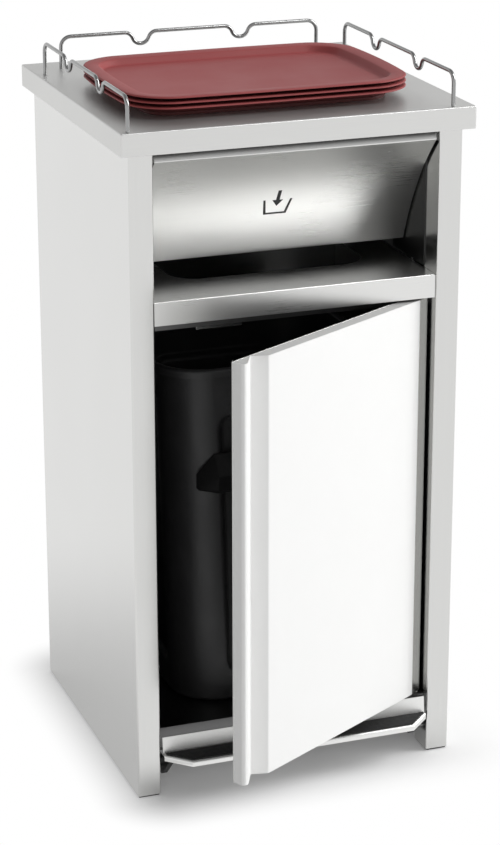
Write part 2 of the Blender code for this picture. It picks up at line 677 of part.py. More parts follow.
def pedal_arms(parent):
    """Bent levers: a head under the tread, the pivot and a tail that carries the balance bar."""
    head_z = PEDAL_TREAD_Z - SHEET - CLEAR - ARM_HEAD_RADIUS
    lip_y = PEDAL_FRONT_Y + PEDAL_CHAMFER_Y * (1 - ARM_INSET / PEDAL_CHAMFER_X)
    head = ((lip_y + 2 * SHEET + ARM_HEAD_RADIUS, head_z), ARM_HEAD_RADIUS)
    pivot = (PEDAL_AXIS, ARM_PIVOT_RADIUS)
    tail = ((ROD_Y, PEDAL_AXIS[1]), ARM_TAIL_RADIUS)
    for side, sign in (("left", -1), ("right", 1)):
        outer = PEDAL_WIDTH / 2 - ARM_INSET
        low, high = sorted((sign * (outer - ARM_THICKNESS), sign * outer))
        arm = add_mesh(f"{side}_pedal_arm", hull_plate([pivot, tail], low, high), BLACK_PAINT, parent)
        cut(arm, hull_plate([head, pivot], low, high), f"{side}_pedal_arm_head", "UNION")
        bore(arm, f"{side}_arm_pivot", "X", PEDAL_AXIS, PEDAL_PIN_RADIUS + RUN_CLEAR, low - SHEET, high + SHEET)
        bore(arm, f"{side}_arm_tail", "X", tail[0], BALANCE_RADIUS + CLEAR, low - SHEET, high + SHEET)


def balance_bar(parent):
    """Round bar on the arms' tails: it lifts the push rod and its weight keeps the pedal up."""
    low = -(PEDAL_WIDTH / 2 - ARM_INSET + BALANCE_STUB)
    high = ROD_X + ROD_RADIUS + BALANCE_STUB
    bm = rod("X", (ROD_Y, PEDAL_AXIS[1]), BALANCE_RADIUS, low, high)
    add_mesh("balance_bar", bm, SATIN_DARK, parent, 40)


def pedal_pins(root):
    inner = PEDAL_WIDTH / 2 - ARM_INSET - ARM_THICKNESS - SHEET
    outer = MOUTH_X + 2 * SHEET
    for side, sign in (("left", -1), ("right", 1)):
        low, high = sorted((sign * inner, sign * outer))
        add_mesh(f"{side}_pedal_pin", rod("X", PEDAL_AXIS, PEDAL_PIN_RADIUS, low, high), CHROME, root, 40)


# Door
def door_path():
    """The door skin's outer face in plan, from the hinge side round the face, finger groove and nose."""
    face_edge = DOOR_FREE_EDGE + NOSE_WIDTH + GROOVE_WIDTH
    rear = DOOR_BACK_Y - DOOR_SHEET - CLEAR
    return [
        (DOOR_HINGE_EDGE, rear),
        (DOOR_HINGE_EDGE, DOOR_FACE_Y + DOOR_FACET_DEPTH),
        (DOOR_HINGE_EDGE - DOOR_FACET_WIDTH, DOOR_FACE_Y),
        (face_edge, DOOR_FACE_Y),
        (face_edge - GROOVE_FLOOR, DOOR_BACK_Y - 2 * DOOR_SHEET - GROOVE_LINER_GAP),
        (face_edge - GROOVE_WIDTH, DOOR_FACE_Y),
        (DOOR_FREE_EDGE + NOSE_CHAMFER, DOOR_FACE_Y),
        (DOOR_FREE_EDGE, DOOR_FACE_Y + NOSE_DEPTH),
        (DOOR_FREE_EDGE, rear),
    ]


def door_skin(hinge):
    outline = folded(door_path()[::-1], DOOR_SHEET)
    add_mesh("door_skin", prism(outline, "Z", DOOR_FOOT, DOOR_TOP), WHITE_DOOR, hinge)


def door_liner(hinge):
    low = (DOOR_FREE_EDGE, DOOR_BACK_Y - DOOR_SHEET, DOOR_FOOT)
    add_mesh("door_liner", block(low, (DOOR_HINGE_EDGE, DOOR_BACK_Y, DOOR_TOP)), STAINLESS, hinge)


def door_caps(hinge):
    """Plates that close the door's top and foot inside the skin."""
    outline = folded(door_path()[::-1], DOOR_SHEET + CLEAR)
    inside = outline[len(door_path()):]
    for place, low in (("top", DOOR_TOP - DOOR_SHEET), ("foot", DOOR_FOOT)):
        cap = add_mesh(f"door_{place}_cap", prism(inside, "Z", low, low + DOOR_SHEET), STAINLESS, hinge)
        hole = DOOR_PIN_RADIUS + RUN_CLEAR
        bore(cap, f"door_{place}_pin_hole", "Z", (0, 0), hole, low - DOOR_SHEET, low + 2 * DOOR_SHEET)


def door_pins(hinge):
    top = SILL_BOTTOM + 2 * SHEET
    foot = DOOR_FOOT - DOOR_FOOT_GAP - 2 * BRACKET_SHEET
    spans = (("top", DOOR_TOP - DOOR_PIN_DEPTH, top), ("foot", foot, DOOR_FOOT + DOOR_PIN_DEPTH))
    for place, low, high in spans:
        add_mesh(f"door_{place}_pin", rod("Z", (0, 0), DOOR_PIN_RADIUS, low, high), CHROME, hinge, 40)


def door_keeper(hinge):
    """Strike block on the liner, which the magnetic catch pulls to the stop lip."""
    left = CATCH_LEFT - DOOR_AXIS[0]
    low_z = SILL_BOTTOM - STOP_LIP - CATCH_HANG - KEEPER_HEIGHT / 4
    low = (left, DOOR_BACK_Y + CLEAR, low_z)
    high = (left + CATCH_SIZE[0], DOOR_BACK_Y + STOP_GAP - KEEPER_GAP, low_z + KEEPER_HEIGHT)
    add_mesh("door_keeper", block(low, high), CHROME, hinge)


def pivot_bushes(root):
    """Washers that the door's pins turn in, between the door and what carries it."""
    foot_low = PEDAL_UPRIGHT_TOP + CLEAR
    spans = (("top", DOOR_TOP + CLEAR, SILL_BOTTOM - CLEAR), ("foot", foot_low, DOOR_FOOT - CLEAR))
    for place, low, high in spans:
        bush = add_mesh(f"{place}_pivot_bush", rod("Z", DOOR_AXIS, BUSH_RADIUS, low, high), WHITE_NYLON, root)
        hole = DOOR_PIN_RADIUS + RUN_CLEAR
        bore(bush, f"{place}_bush_bore", "Z", DOOR_AXIS, hole, low - SHEET, high + SHEET)


def foot_bracket(root):
    """Angle on the right post under the door's lower pin."""
    edge = MOUTH_X - CLEAR
    path = [
        (edge - BRACKET_REACH, PEDAL_UPRIGHT_TOP),
        (edge, PEDAL_UPRIGHT_TOP),
        (edge, PEDAL_UPRIGHT_TOP - BRACKET_DROP),
    ]
    outline = folded(path[::-1], BRACKET_SHEET)
    y = DOOR_AXIS[1]
    bm = prism(outline, "Y", y - BRACKET_WIDTH / 2, y + BRACKET_WIDTH / 2)
    bracket = add_mesh("foot_pivot_bracket", bm, SATIN_DARK, root)
    hole = DOOR_PIN_RADIUS + RUN_CLEAR
    low = PEDAL_UPRIGHT_TOP - 2 * BRACKET_SHEET
    bore(bracket, "foot_pivot_hole", "Z", DOOR_AXIS, hole, low, PEDAL_UPRIGHT_TOP + SHEET)


# Bin
def bin_recess_mouth(across):
    """Half the width of the recess in a wall, from the wall's half width at the bin's foot."""
    return across - BIN_CORNER - BIN_RECESS_INSET + BIN_RECESS_SLOPE


def bin_outline(half, recess, shrink=0.0):
    """Plan of the bin at one level: a rounded rectangle with a shallow recess in the middle of each side."""
    half_x, half_y = half[0] - shrink, half[1] - shrink
    corner = BIN_CORNER - shrink
    points = []
    for quarter, (sx, sy) in enumerate(((1, 1), (-1, 1), (-1, -1), (1, -1))):
        centre = (sx * (half_x - corner), sy * (half_y - corner))
        points += circle(centre, corner, BIN_CORNER_STEPS + 1, quarter * math.pi / 2, math.pi / 2)
        mouth = bin_recess_mouth(BIN_FOOT_HALF[quarter % 2])
        reach = mouth - BIN_RECESS_SLOPE
        offsets = (mouth, reach, -reach, -mouth)
        depths = (0, recess, recess, 0)
        for offset, depth in zip(offsets, depths):
            if quarter == 0:
                points.append((offset, half_y - depth))
            elif quarter == 1:
                points.append((-(half_x - depth), offset))
            elif quarter == 2:
                points.append((-offset, -(half_y - depth)))
            else:
                points.append((half_x - depth, -offset))
    return [(x, y + BIN_CENTRE_Y) for x, y in points]


def bin_half(z):
    """Half width and half depth of the tapered bin at height z."""
    foot = BASE_TOP + CLEAR
    share = (z - foot) / (BIN_TOP - foot)
    return [low + (high - low) * share for low, high in zip(BIN_FOOT_HALF, BIN_TOP_HALF)]


def bin_shell(parent):
    foot = BASE_TOP + CLEAR
    low, high = foot + BIN_RECESS_LOW, BIN_TOP - BIN_RECESS_HIGH
    rim = BIN_TOP - BIN_RIM_HEIGHT
    outside = (
        (foot, 0, 0),
        (low, 0, 0),
        (low + BIN_RECESS_RAMP, BIN_RECESS_DEPTH, 0),
        (high - BIN_RECESS_RAMP, BIN_RECESS_DEPTH, 0),
        (high, 0, 0),
        (rim, 0, 0),
        (rim, 0, -BIN_RIM),
        (BIN_TOP, 0, -BIN_RIM),
    )
    inside = (
        (BIN_TOP, 0, BIN_WALL),
        (high, 0, BIN_WALL),
        (high - BIN_RECESS_RAMP, BIN_RECESS_DEPTH, BIN_WALL),
        (low + BIN_RECESS_RAMP, BIN_RECESS_DEPTH, BIN_WALL),
        (low, 0, BIN_WALL),
        (foot + BIN_WALL, 0, BIN_WALL),
    )
    loops = []
    for z, recess, shrink in outside + inside:
        loops.append([(x, y, z) for x, y in bin_outline(bin_half(z), recess, shrink)])
    add_mesh("bin_shell", stacked(loops), BIN_PLASTIC, parent, 35)


def bin_handle(parent):
    """Hooded grip across the front recess, seated on the walls beside it."""
    half = bin_recess_mouth(BIN_FOOT_HALF[0]) + BIN_HANDLE_SEAT
    low = BIN_HANDLE_LEVEL
    lip = low + BIN_HANDLE_LIP
    levels = (
        (low, half - BIN_HANDLE_EDGE, BIN_HANDLE_PROUD - BIN_HANDLE_EDGE),
        (low + BIN_HANDLE_EDGE, half, BIN_HANDLE_PROUD),
        (lip, half, BIN_HANDLE_PROUD),
        (lip + BIN_HANDLE_HOOD, half - BIN_HANDLE_TAPER, BIN_HANDLE_HOOD_PROUD),
    )
    loops = []
    for z, reach, proud in levels:
        wall = BIN_CENTRE_Y - bin_half(z)[1] - CLEAR
        front = wall - proud
        near = reach - BIN_HANDLE_TAPER * proud / BIN_HANDLE_PROUD
        loops.append([(-reach, wall, z), (-near, front, z), (near, front, z), (reach, wall, z)])
    add_mesh("bin_handle", stacked(loops), BIN_PLASTIC, parent)


# Worktop furniture
def guard_path():
    """One guard's wire in its own plane: along the guard and up from the worktop."""
    half, top = GUARD_LENGTH / 2, GUARD_HEIGHT
    corners, radii = [(-half, GUARD_WIRE / 2 + CLEAR), (-half, top)], [GUARD_CORNER]
    for middle in (-GUARD_DIP_OFFSET, GUARD_DIP_OFFSET):
        low = top - GUARD_DIP_DEPTH
        for offset, z in (
            (-GUARD_DIP_HALF, top),
            (-GUARD_DIP_FLOOR, low),
            (GUARD_DIP_FLOOR, low),
            (GUARD_DIP_HALF, top),
        ):
            corners.append((middle + offset, z))
            radii.append(GUARD_BEND)
    corners += [(half, top), (half, GUARD_WIRE / 2 + CLEAR)]
    radii.append(GUARD_CORNER)
    path = rounded_path(corners, radii, GUARD_ARC_STEPS)
    path[0].y = path[-1].y = CLEAR
    return path


def wire_guards(root):
    edge_x = HALF_WIDTH + WORKTOP_OVERHANG
    edge_y = BODY_DEPTH / 2 + WORKTOP_OVERHANG
    side_y = GUARD_FRONT_INSET + GUARD_LENGTH / 2 - edge_y
    places = (
        ("left_tray_guard", (GUARD_LEFT_INSET - edge_x, side_y), "Y"),
        ("right_tray_guard", (edge_x - GUARD_RIGHT_INSET, side_y), "Y"),
        ("back_tray_guard", (GUARD_BACK_X, edge_y - GUARD_BACK_INSET), "X"),
    )
    for name, (x, y), along in places:
        curve = bpy.data.curves.new(name, "CURVE")
        curve.dimensions = "3D"
        curve.bevel_depth = GUARD_WIRE / 2
        curve.bevel_resolution = WIRE_SIDES
        curve.use_fill_caps = True
        points = guard_path()
        spline = curve.splines.new("POLY")
        spline.points.add(len(points) - 1)
        for target, point in zip(spline.points, points):
            flat = (point.x, 0) if along == "X" else (0, point.x)
            target.co = (x + flat[0], y + flat[1], WORKTOP_TOP + point.y, 1)
        curve.materials.append(bpy.data.materials[CHROME])
        attach(bpy.data.objects.new(name, curve), root)


def tray_loop(inset, z):
    outline = rounded_rectangle(
        TRAY_WIDTH / 2 - inset, TRAY_DEPTH / 2 - inset, max(TRAY_CORNER - inset, 0.01), TRAY_CORNER_STEPS
    )
    return [(x + TRAY_CENTRE[0], y + TRAY_CENTRE[1], z) for x, y in outline]


def tray(name, foot, parent):
    """A serving tray whose foot ring stands at height foot, on the worktop or on the tray below."""
    under = foot + TRAY_FOOT
    floor = under + TRAY_WALL
    rim = floor + TRAY_WELL
    slope_end = TRAY_RIM + TRAY_SLOPE
    ring = slope_end + TRAY_FOOT_WIDTH
    levels = (
        (ring, under),
        (ring, foot),
        (slope_end, foot),
        (slope_end, under),
        (TRAY_RIM, rim - TRAY_WALL),
        (TRAY_WALL, rim - TRAY_WALL),
        (TRAY_WALL / 2, rim - TRAY_WALL - TRAY_EDGE),
        (0, rim - TRAY_WALL - TRAY_EDGE),
        (0, rim - TRAY_EDGE),
        (TRAY_WALL, rim),
        (TRAY_RIM, rim),
        (slope_end, floor),
    )
    add_mesh(name, stacked([tray_loop(inset, z) for inset, z in levels]), TRAY_RESIN, parent, 35)


def trays(root):
    holder = root
    for i in range(TRAY_COUNT):
        foot = WORKTOP_TOP + CLEAR + i * TRAY_PITCH
        holder = joint_empty(f"tray_{i + 1}_lift", (*TRAY_CENTRE, foot), holder)
        tray(f"tray_{i + 1}", foot, holder)


def centre_footprint(root):
    """Moves the station so that the box round it, with its door ajar, stands centred on the origin."""
    bpy.context.view_layer.update()
    graph = bpy.context.evaluated_depsgraph_get()
    low_y, high_y = math.inf, -math.inf
    for obj in bpy.data.objects:
        if obj.type == "MESH" and not obj.hide_render:
            placed = obj.evaluated_get(graph)
            ys = [(placed.matrix_world @ v.co).y for v in placed.data.vertices]
            low_y, high_y = min(low_y, *ys), max(high_y, *ys)
    root.location.y = -(low_y + high_y) / 2


def main():
    clear_scene()
    make_materials()
    root = joint_empty("station", (0, 0, 0), None)
    side_panels(root)
    back_panel(root)
    back_screws(root)
    base_panel(root)
    feet(root)
    worktop(root)
    sill(root)
    stop_rail(root)
    magnetic_catch(root)
    chute_cheeks(root)
    flap_bearings(root)
    rod_guides(root)
    pedal_pins(root)
    pivot_bushes(root)
    foot_bracket(root)
    wire_guards(root)
    trays(root)

    flap_hang = joint_empty("flap_hang", (0, *FLAP_AXIS), root)
    flap_sheet(flap_hang)
    flap_arms(flap_hang)
    flap_pins(flap_hang)
    flap_crank(flap_hang)

    push_rod(joint_empty("rod_slide", (ROD_X, ROD_Y, 0), root))

    pedal_pivot = joint_empty("pedal_pivot", (0, *PEDAL_AXIS), root)
    pedal_plate(pedal_pivot)
    pedal_mat(pedal_pivot)
    pedal_arms(pedal_pivot)
    balance_bar(pedal_pivot)

    hinge = joint_empty("door_hinge", (*DOOR_AXIS, 0), root)
    hinge["own_frame"] = True
    hinge.rotation_euler.z = DOOR_ANGLE
    door_skin(hinge)
    door_liner(hinge)
    door_caps(hinge)
    door_pins(hinge)
    door_keeper(hinge)

    bin_stand = joint_empty("bin_stand", (0, BIN_CENTRE_Y, BASE_TOP), root)
    bin_shell(bin_stand)
    bin_handle(bin_stand)
    centre_footprint(root)


main()
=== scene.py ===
import json
from math import atan2, copysign, cos, hypot, radians, sin, tan

import bmesh
import bpy
from mathutils import Matrix, Vector

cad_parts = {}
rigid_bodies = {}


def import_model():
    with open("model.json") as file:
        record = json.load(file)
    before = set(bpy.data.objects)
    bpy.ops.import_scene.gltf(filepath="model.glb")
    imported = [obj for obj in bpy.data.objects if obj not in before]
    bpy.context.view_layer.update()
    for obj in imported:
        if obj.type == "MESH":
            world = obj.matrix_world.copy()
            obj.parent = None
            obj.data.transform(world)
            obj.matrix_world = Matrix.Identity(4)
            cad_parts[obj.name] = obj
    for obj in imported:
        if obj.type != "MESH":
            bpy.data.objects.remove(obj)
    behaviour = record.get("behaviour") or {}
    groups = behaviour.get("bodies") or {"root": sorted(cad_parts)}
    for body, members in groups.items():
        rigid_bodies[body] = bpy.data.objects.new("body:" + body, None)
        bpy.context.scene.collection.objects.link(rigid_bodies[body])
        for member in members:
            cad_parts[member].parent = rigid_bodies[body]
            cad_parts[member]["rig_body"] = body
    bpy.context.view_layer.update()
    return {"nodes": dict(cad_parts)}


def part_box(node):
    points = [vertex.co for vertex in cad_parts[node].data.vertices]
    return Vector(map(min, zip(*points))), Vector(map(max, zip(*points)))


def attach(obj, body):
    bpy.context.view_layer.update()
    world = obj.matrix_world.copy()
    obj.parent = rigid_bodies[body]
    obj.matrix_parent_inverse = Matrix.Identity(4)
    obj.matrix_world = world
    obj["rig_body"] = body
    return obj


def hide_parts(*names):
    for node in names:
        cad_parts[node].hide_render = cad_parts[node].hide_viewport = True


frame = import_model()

scene = bpy.context.scene
backShift = sum(corner.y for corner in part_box("worktop")) / 2  # the cabinet's middle, seen from above
near = 0.0005  # points closer than this lie on one line
mergeGap = 0.00001  # and closer than this they are the same point


# Small tools for nodes and meshes
def hexColour(code):
    channels = [int(code[i:i + 2], 16) / 255 for i in (1, 3, 5)]
    return [c / 12.92 if c <= 0.04045 else ((c + 0.055) / 1.055) ** 2.4 for c in channels] + [1.0]


def addNode(tree, kind, sockets=None, **settings):
    node = tree.nodes.new("ShaderNode" + kind)
    for name, value in settings.items():
        setattr(node, name, value)
    for name, value in (sockets or {}).items():
        if isinstance(value, bpy.types.NodeSocket):
            tree.links.new(value, node.inputs[name])
        else:
            node.inputs[name].default_value = value
    return node


def newTree(name):  # a bare material, its tree and the place on the piece
    material = bpy.data.materials.new(name)
    material.use_nodes = True
    tree = material.node_tree
    tree.nodes.clear()
    return material, tree, addNode(tree, "TexCoord").outputs["Object"]


def only(kind, geometry):
    return [item for item in geometry if isinstance(item, kind)]


def pullEdges(bm, edges, vec):
    made = bmesh.ops.extrude_edge_only(bm, edges=edges)["geom"]
    bmesh.ops.translate(bm, vec=vec, verts=only(bmesh.types.BMVert, made))
    return only(bmesh.types.BMEdge, made)


def sheetFrom(points, pull):  # a sheet's outer face, from its profile
    bm = bmesh.new()
    line = [bm.verts.new(point) for point in points]
    pullEdges(bm, [bm.edges.new(pair) for pair in zip(line, line[1:])], pull)
    return bm


def sharpEdges(bm, angle):
    return [e for e in bm.edges if len(e.link_faces) == 2 and e.calc_face_angle(0) > radians(angle)]


def roundOff(bm, edges, radius, segments=4):
    bmesh.ops.bevel(bm, geom=edges, offset=radius, offset_type="OFFSET", affect="EDGES", segments=segments,
                    profile=0.5, material=-1, clamp_overlap=True)


def roundCorners(bm, verts, radius, segments):
    bmesh.ops.bevel(bm, geom=verts, offset=radius, offset_type="OFFSET", affect="VERTICES", segments=segments,
                    profile=0.5, material=-1, clamp_overlap=True)


def giveWall(bm, wall, inward, inside=0, rim=0.0003):  # inward: to the sheet's inner side from its largest face
    bm.normal_update()
    largest = max(bm.faces, key=lambda face: face.calc_area())
    if largest.normal.dot(Vector(inward)) > 0:
        bmesh.ops.reverse_faces(bm, faces=bm.faces[:])
    outer = set(bm.faces)
    bmesh.ops.solidify(bm, geom=bm.faces[:], thickness=wall)
    bm.normal_update()
    for face in bm.faces:
        if face not in outer:
            face.material_index = inside
    roundOff(bm, sharpEdges(bm, 60), rim, 2)


def keepPiece(bm, name, coats, body, slot, *nodes, crease=40, flats=True):
    mesh = bpy.data.meshes.new(name)
    bm.to_mesh(mesh)
    bm.free()
    for coat in coats:
        mesh.materials.append(coat)
    mesh.shade_smooth()
    mesh.set_sharp_from_angle(angle=radians(crease))
    piece = bpy.data.objects.new(name, mesh)
    scene.collection.objects.link(piece)
    if flats:
        piece.modifiers.new("flats", "WEIGHTED_NORMAL").keep_sharp = True
    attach(piece, body)
    if nodes:
        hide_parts(*nodes)
    return piece


def softCopy(node, finish, edge, segments=2):  # the solid itself, with its edges broken
    source = frame["nodes"][node]
    bm = bmesh.new()
    bm.from_mesh(source.data)
    bmesh.ops.remove_doubles(bm, verts=bm.verts[:], dist=mergeGap)
    bmesh.ops.dissolve_limit(bm, angle_limit=radians(1), verts=bm.verts[:], edges=bm.edges[:])
    roundOff(bm, sharpEdges(bm, 35), edge, segments)
    slot = source.data.materials[0].name
    return keepPiece(bm, node + "_soft", [finish], source["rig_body"], slot, node)


# Materials
def brushedStainless(name, grain, light, dark, rough):
    # 304 stainless sheet after a 320 grit belt: almost even, with hairlines along the grain that soften what it
    # mirrors. The hairlines are 0.3 mm apart, drawn 1 mm apart so that they show. Blasted sheet has the same grain
    # in all directions, and only a faint mottle; so have the darker copies that paint the shade inside the cabinet.
    material, tree, place = newTree(name)
    stretch = addNode(tree, "Mapping", {"Vector": place, "Scale": grain})
    lines = addNode(tree, "TexNoise", {"Vector": stretch.outputs[0], "Scale": 1.0, "Detail": 4.0, "Roughness": 0.6})
    cloud = addNode(tree, "TexNoise", {"Vector": place, "Scale": 1 / 0.14, "Detail": 3.0})  # 140 mm polish drifts
    tone = addNode(tree, "Mix", {0: lines.outputs[0], 6: hexColour(dark), 7: hexColour(light)}, data_type="RGBA")
    drift = addNode(tree, "MapRange", {"Value": cloud.outputs[0], "From Min": 0.3, "From Max": 0.7,
                                       "To Min": rough - 0.015, "To Max": rough + 0.015})
    streak = addNode(tree, "MapRange", {"Value": lines.outputs[0], "From Min": 0.3, "From Max": 0.7,
                                        "To Min": -0.009, "To Max": 0.011})
    total = addNode(tree, "Math", {0: drift.outputs[0], 1: streak.outputs[0]}, operation="ADD")
    shader = addNode(tree, "BsdfPrincipled", {"Metallic": 1.0, "Base Color": tone.outputs[2],
                                              "Roughness": total.outputs[0]})
    addNode(tree, "OutputMaterial", {"Surface": shader.outputs[0]})
    return material


def polishedWire(name):
    # drawn stainless wire, buffed: crisp reflections broken by draw marks, 1.6 mm long so that they show; its tone is
    # painted darker than bare stainless, a painted reflection of dark surroundings
    material, tree, place = newTree(name)
    marks = addNode(tree, "TexNoise", {"Vector": place, "Scale": 1 / 0.0016, "Detail": 4.0})
    tone = addNode(tree, "Mix", {0: marks.outputs[0], 6: hexColour("#939495"), 7: hexColour("#A6A6A5")},
                   data_type="RGBA")
    gloss = addNode(tree, "MapRange", {"Value": marks.outputs[0], "From Min": 0.3, "From Max": 0.7,
                                       "To Min": 0.2, "To Max": 0.27})
    shader = addNode(tree, "BsdfPrincipled", {"Metallic": 1.0, "Base Color": tone.outputs[2],
                                              "Roughness": gloss.outputs[0]})
    addNode(tree, "OutputMaterial", {"Surface": shader.outputs[0]})
    return material


def bakedEnamel(name, tone, shade, rough, peel):
    # stove enamel, powder coat or printed ink: even colour, a soft sheen, a faint orange peel and 60 mm hand marks
    material, tree, place = newTree(name)
    ripple = addNode(tree, "TexNoise", {"Vector": place, "Scale": 1 / peel, "Detail": 2.0})
    dull = addNode(tree, "TexNoise", {"Vector": place, "Scale": 1 / 0.06, "Detail": 5.0, "Roughness": 0.7})
    colour = addNode(tree, "Mix", {0: dull.outputs[0], 6: hexColour(tone), 7: hexColour(shade)}, data_type="RGBA")
    sheen = addNode(tree, "MapRange", {"Value": dull.outputs[0], "From Min": 0.35, "From Max": 0.65,
                                       "To Min": rough - 0.04, "To Max": rough + 0.06})
    relief = addNode(tree, "Bump", {"Strength": 0.08, "Distance": 0.0002, "Height": ripple.outputs[0]})
    shader = addNode(tree, "BsdfPrincipled", {"Base Color": colour.outputs[2], "Roughness": sheen.outputs[0],
                                              "Normal": relief.outputs[0]})
    addNode(tree, "OutputMaterial", {"Surface": shader.outputs[0]})
    return material


def mouldedPlastic(name, tone, worn, rough, grain, gloss=0.5):
    # injection moulded PP, acetal or nylon: a fine spark-eroded grain, with paler rubbed patches about 50 mm across
    material, tree, place = newTree(name)
    pebble = addNode(tree, "TexNoise", {"Vector": place, "Scale": 1 / grain, "Detail": 3.0})
    rub = addNode(tree, "TexNoise", {"Vector": place, "Scale": 1 / 0.05, "Detail": 7.0, "Roughness": 0.75})
    rubbed = addNode(tree, "MapRange", {"Value": rub.outputs[0], "From Min": 0.5, "From Max": 0.75,
                                        "To Min": 0.0, "To Max": 1.0})
    colour = addNode(tree, "Mix", {0: rubbed.outputs[0], 6: hexColour(tone), 7: hexColour(worn)}, data_type="RGBA")
    sheen = addNode(tree, "MapRange", {"Value": rub.outputs[0], "From Min": 0.35, "From Max": 0.65,
                                       "To Min": rough - 0.05, "To Max": rough + 0.08})
    relief = addNode(tree, "Bump", {"Strength": 0.15, "Distance": 0.0003, "Height": pebble.outputs[0]})
    shader = addNode(tree, "BsdfPrincipled", {"Base Color": colour.outputs[2], "Roughness": sheen.outputs[0],
                                              "Specular IOR Level": gloss, "Normal": relief.outputs[0]})
    addNode(tree, "OutputMaterial", {"Surface": shader.outputs[0]})
    return material


def ribbedRubber(name):
    # EPDM tread: matt black, moulded in ribs 4 mm apart, with grey dust in 12 mm blotches between them
    material, tree, place = newTree(name)
    ribs = addNode(tree, "TexWave", {"Vector": place, "Scale": 0.3142 / 0.004, "Distortion": 0.0},
                   bands_direction="Y")
    dust = addNode(tree, "TexNoise", {"Vector": place, "Scale": 1 / 0.012, "Detail": 6.0})
    trodden = addNode(tree, "Math", {0: dust.outputs[0], 1: ribs.outputs["Fac"]}, operation="MULTIPLY")
    colour = addNode(tree, "Mix", {0: trodden.outputs[0], 6: hexColour("#121213"), 7: hexColour("#2B2B2B")},
                     data_type="RGBA")
    relief = addNode(tree, "Bump", {"Strength": 0.6, "Distance": 0.0008, "Height": ribs.outputs["Fac"]})
    dry = addNode(tree, "MapRange", {"Value": dust.outputs[0], "From Min": 0.3, "From Max": 0.7,
                                     "To Min": 0.62, "To Max": 0.85})
    shader = addNode(tree, "BsdfPrincipled", {"Base Color": colour.outputs[2], "Roughness": dry.outputs[0],
                                              "Normal": relief.outputs[0]})
    addNode(tree, "OutputMaterial", {"Surface": shader.outputs[0]})
    return material


def pressedResin(name, dark, light, worn):
    # glass-filled polyester tray, hot pressed: a satin skin, 4 mm flecks of fibre and 90 mm clouds from use
    material, tree, place = newTree(name)
    fleck = addNode(tree, "TexNoise", {"Vector": place, "Scale": 1 / 0.004, "Detail": 5.0, "Roughness": 0.7})
    haze = addNode(tree, "TexNoise", {"Vector": place, "Scale": 1 / 0.09, "Detail": 3.0})
    base = addNode(tree, "Mix", {0: fleck.outputs[0], 6: hexColour(dark), 7: hexColour(light)}, data_type="RGBA")
    colour = addNode(tree, "Mix", {0: haze.outputs[0], 6: base.outputs[2], 7: hexColour(worn)}, data_type="RGBA")
    sheen = addNode(tree, "MapRange", {"Value": haze.outputs[0], "From Min": 0.35, "From Max": 0.65,
                                       "To Min": 0.5, "To Max": 0.56})
    relief = addNode(tree, "Bump", {"Strength": 0.05, "Distance": 0.0002, "Height": fleck.outputs[0]})
    shader = addNode(tree, "BsdfPrincipled", {"Base Color": colour.outputs[2], "Roughness": sheen.outputs[0],
                                              "Specular IOR Level": 0.3, "Normal": relief.outputs[0]})
    addNode(tree, "OutputMaterial", {"Surface": shader.outputs[0]})
    return material


finishes = {
    "upright": brushedStainless("brushed_stainless_upright", (900, 900, 9), "#DBDBD9", "#D4D4D3", 0.2),
    "across": brushedStainless("brushed_stainless_across", (9, 900, 900), "#DEDEDC", "#D7D7D6", 0.45),
    "flap": brushedStainless("satin_stainless_across", (9, 900, 900), "#E6E6E4", "#E0E0DF", 0.28),
    # the pedal's blasted stainless is toned lighter than the other sheet, a painted light standing in for the light
    # on its upright
    "pedal": brushedStainless("blasted_stainless_painted_light", (300, 300, 300), "#F0F0EE", "#E6E6E5", 0.42),
    # the inner finish is the same stainless painted darker, a painted shade inside the cabinet: on the sheets' inner
    # faces and the fittings within
    "inner": brushedStainless("stainless_painted_inside_shade", (60, 60, 60), "#767676", "#717171", 0.34),
    # the cheek finish is stainless painted dark, a painted shade between the cheeks of the chute
    "chute": brushedStainless("stainless_painted_cheek_shade", (60, 60, 60), "#484848", "#424242", 0.38),
    "wire": polishedWire("stainless_wire_painted_dark_reflection"),
    "enamel": bakedEnamel("white_stove_enamel", "#F7F7F6", "#F5F5F4", 0.4, 0.0025),
    # the caps are the door's white enamel painted grey, a painted shade under the sill
    "capEnamel": bakedEnamel("stove_enamel_painted_cap_shade", "#D2D2D1", "#CDCDCC", 0.4, 0.0025),
    "blackCoat": bakedEnamel("black_powder_coat", "#191919", "#222222", 0.45, 0.0015),
    "acetal": mouldedPlastic("black_acetal", "#161617", "#232324", 0.42, 0.0012),
    "whiteAcetal": mouldedPlastic("white_acetal", "#E6E6E1", "#DADAD4", 0.4, 0.0012),
    "bin": mouldedPlastic("moulded_polypropylene", "#303031", "#383839", 0.46, 0.0018),
    # the recess finish is the bin's plastic painted darker, a painted shade down in the recesses
    "binRecessShade": mouldedPlastic("polypropylene_painted_recess_shade", "#1D1D1E", "#212122", 0.55, 0.0018),
    "grip": mouldedPlastic("black_glass_nylon", "#0B0B0C", "#131314", 0.55, 0.0015, gloss=0.15),
    "rubber": ribbedRubber("ribbed_epdm_rubber"),
    "resin": pressedResin("pressed_polyester_resin", "#9E4848", "#A64E4E", "#A24B4C"),
    # the underside is the tray resin painted darker, a painted shade under and between the stacked trays
    "undersideShade": pressedResin("polyester_painted_underside_shade", "#562626", "#5E2B2B", "#5A2929"),
    "ink": bakedEnamel("screen_printed_ink", "#1B1B1B", "#262626", 0.5, 0.0008),
}
print("materials:", len(finishes))


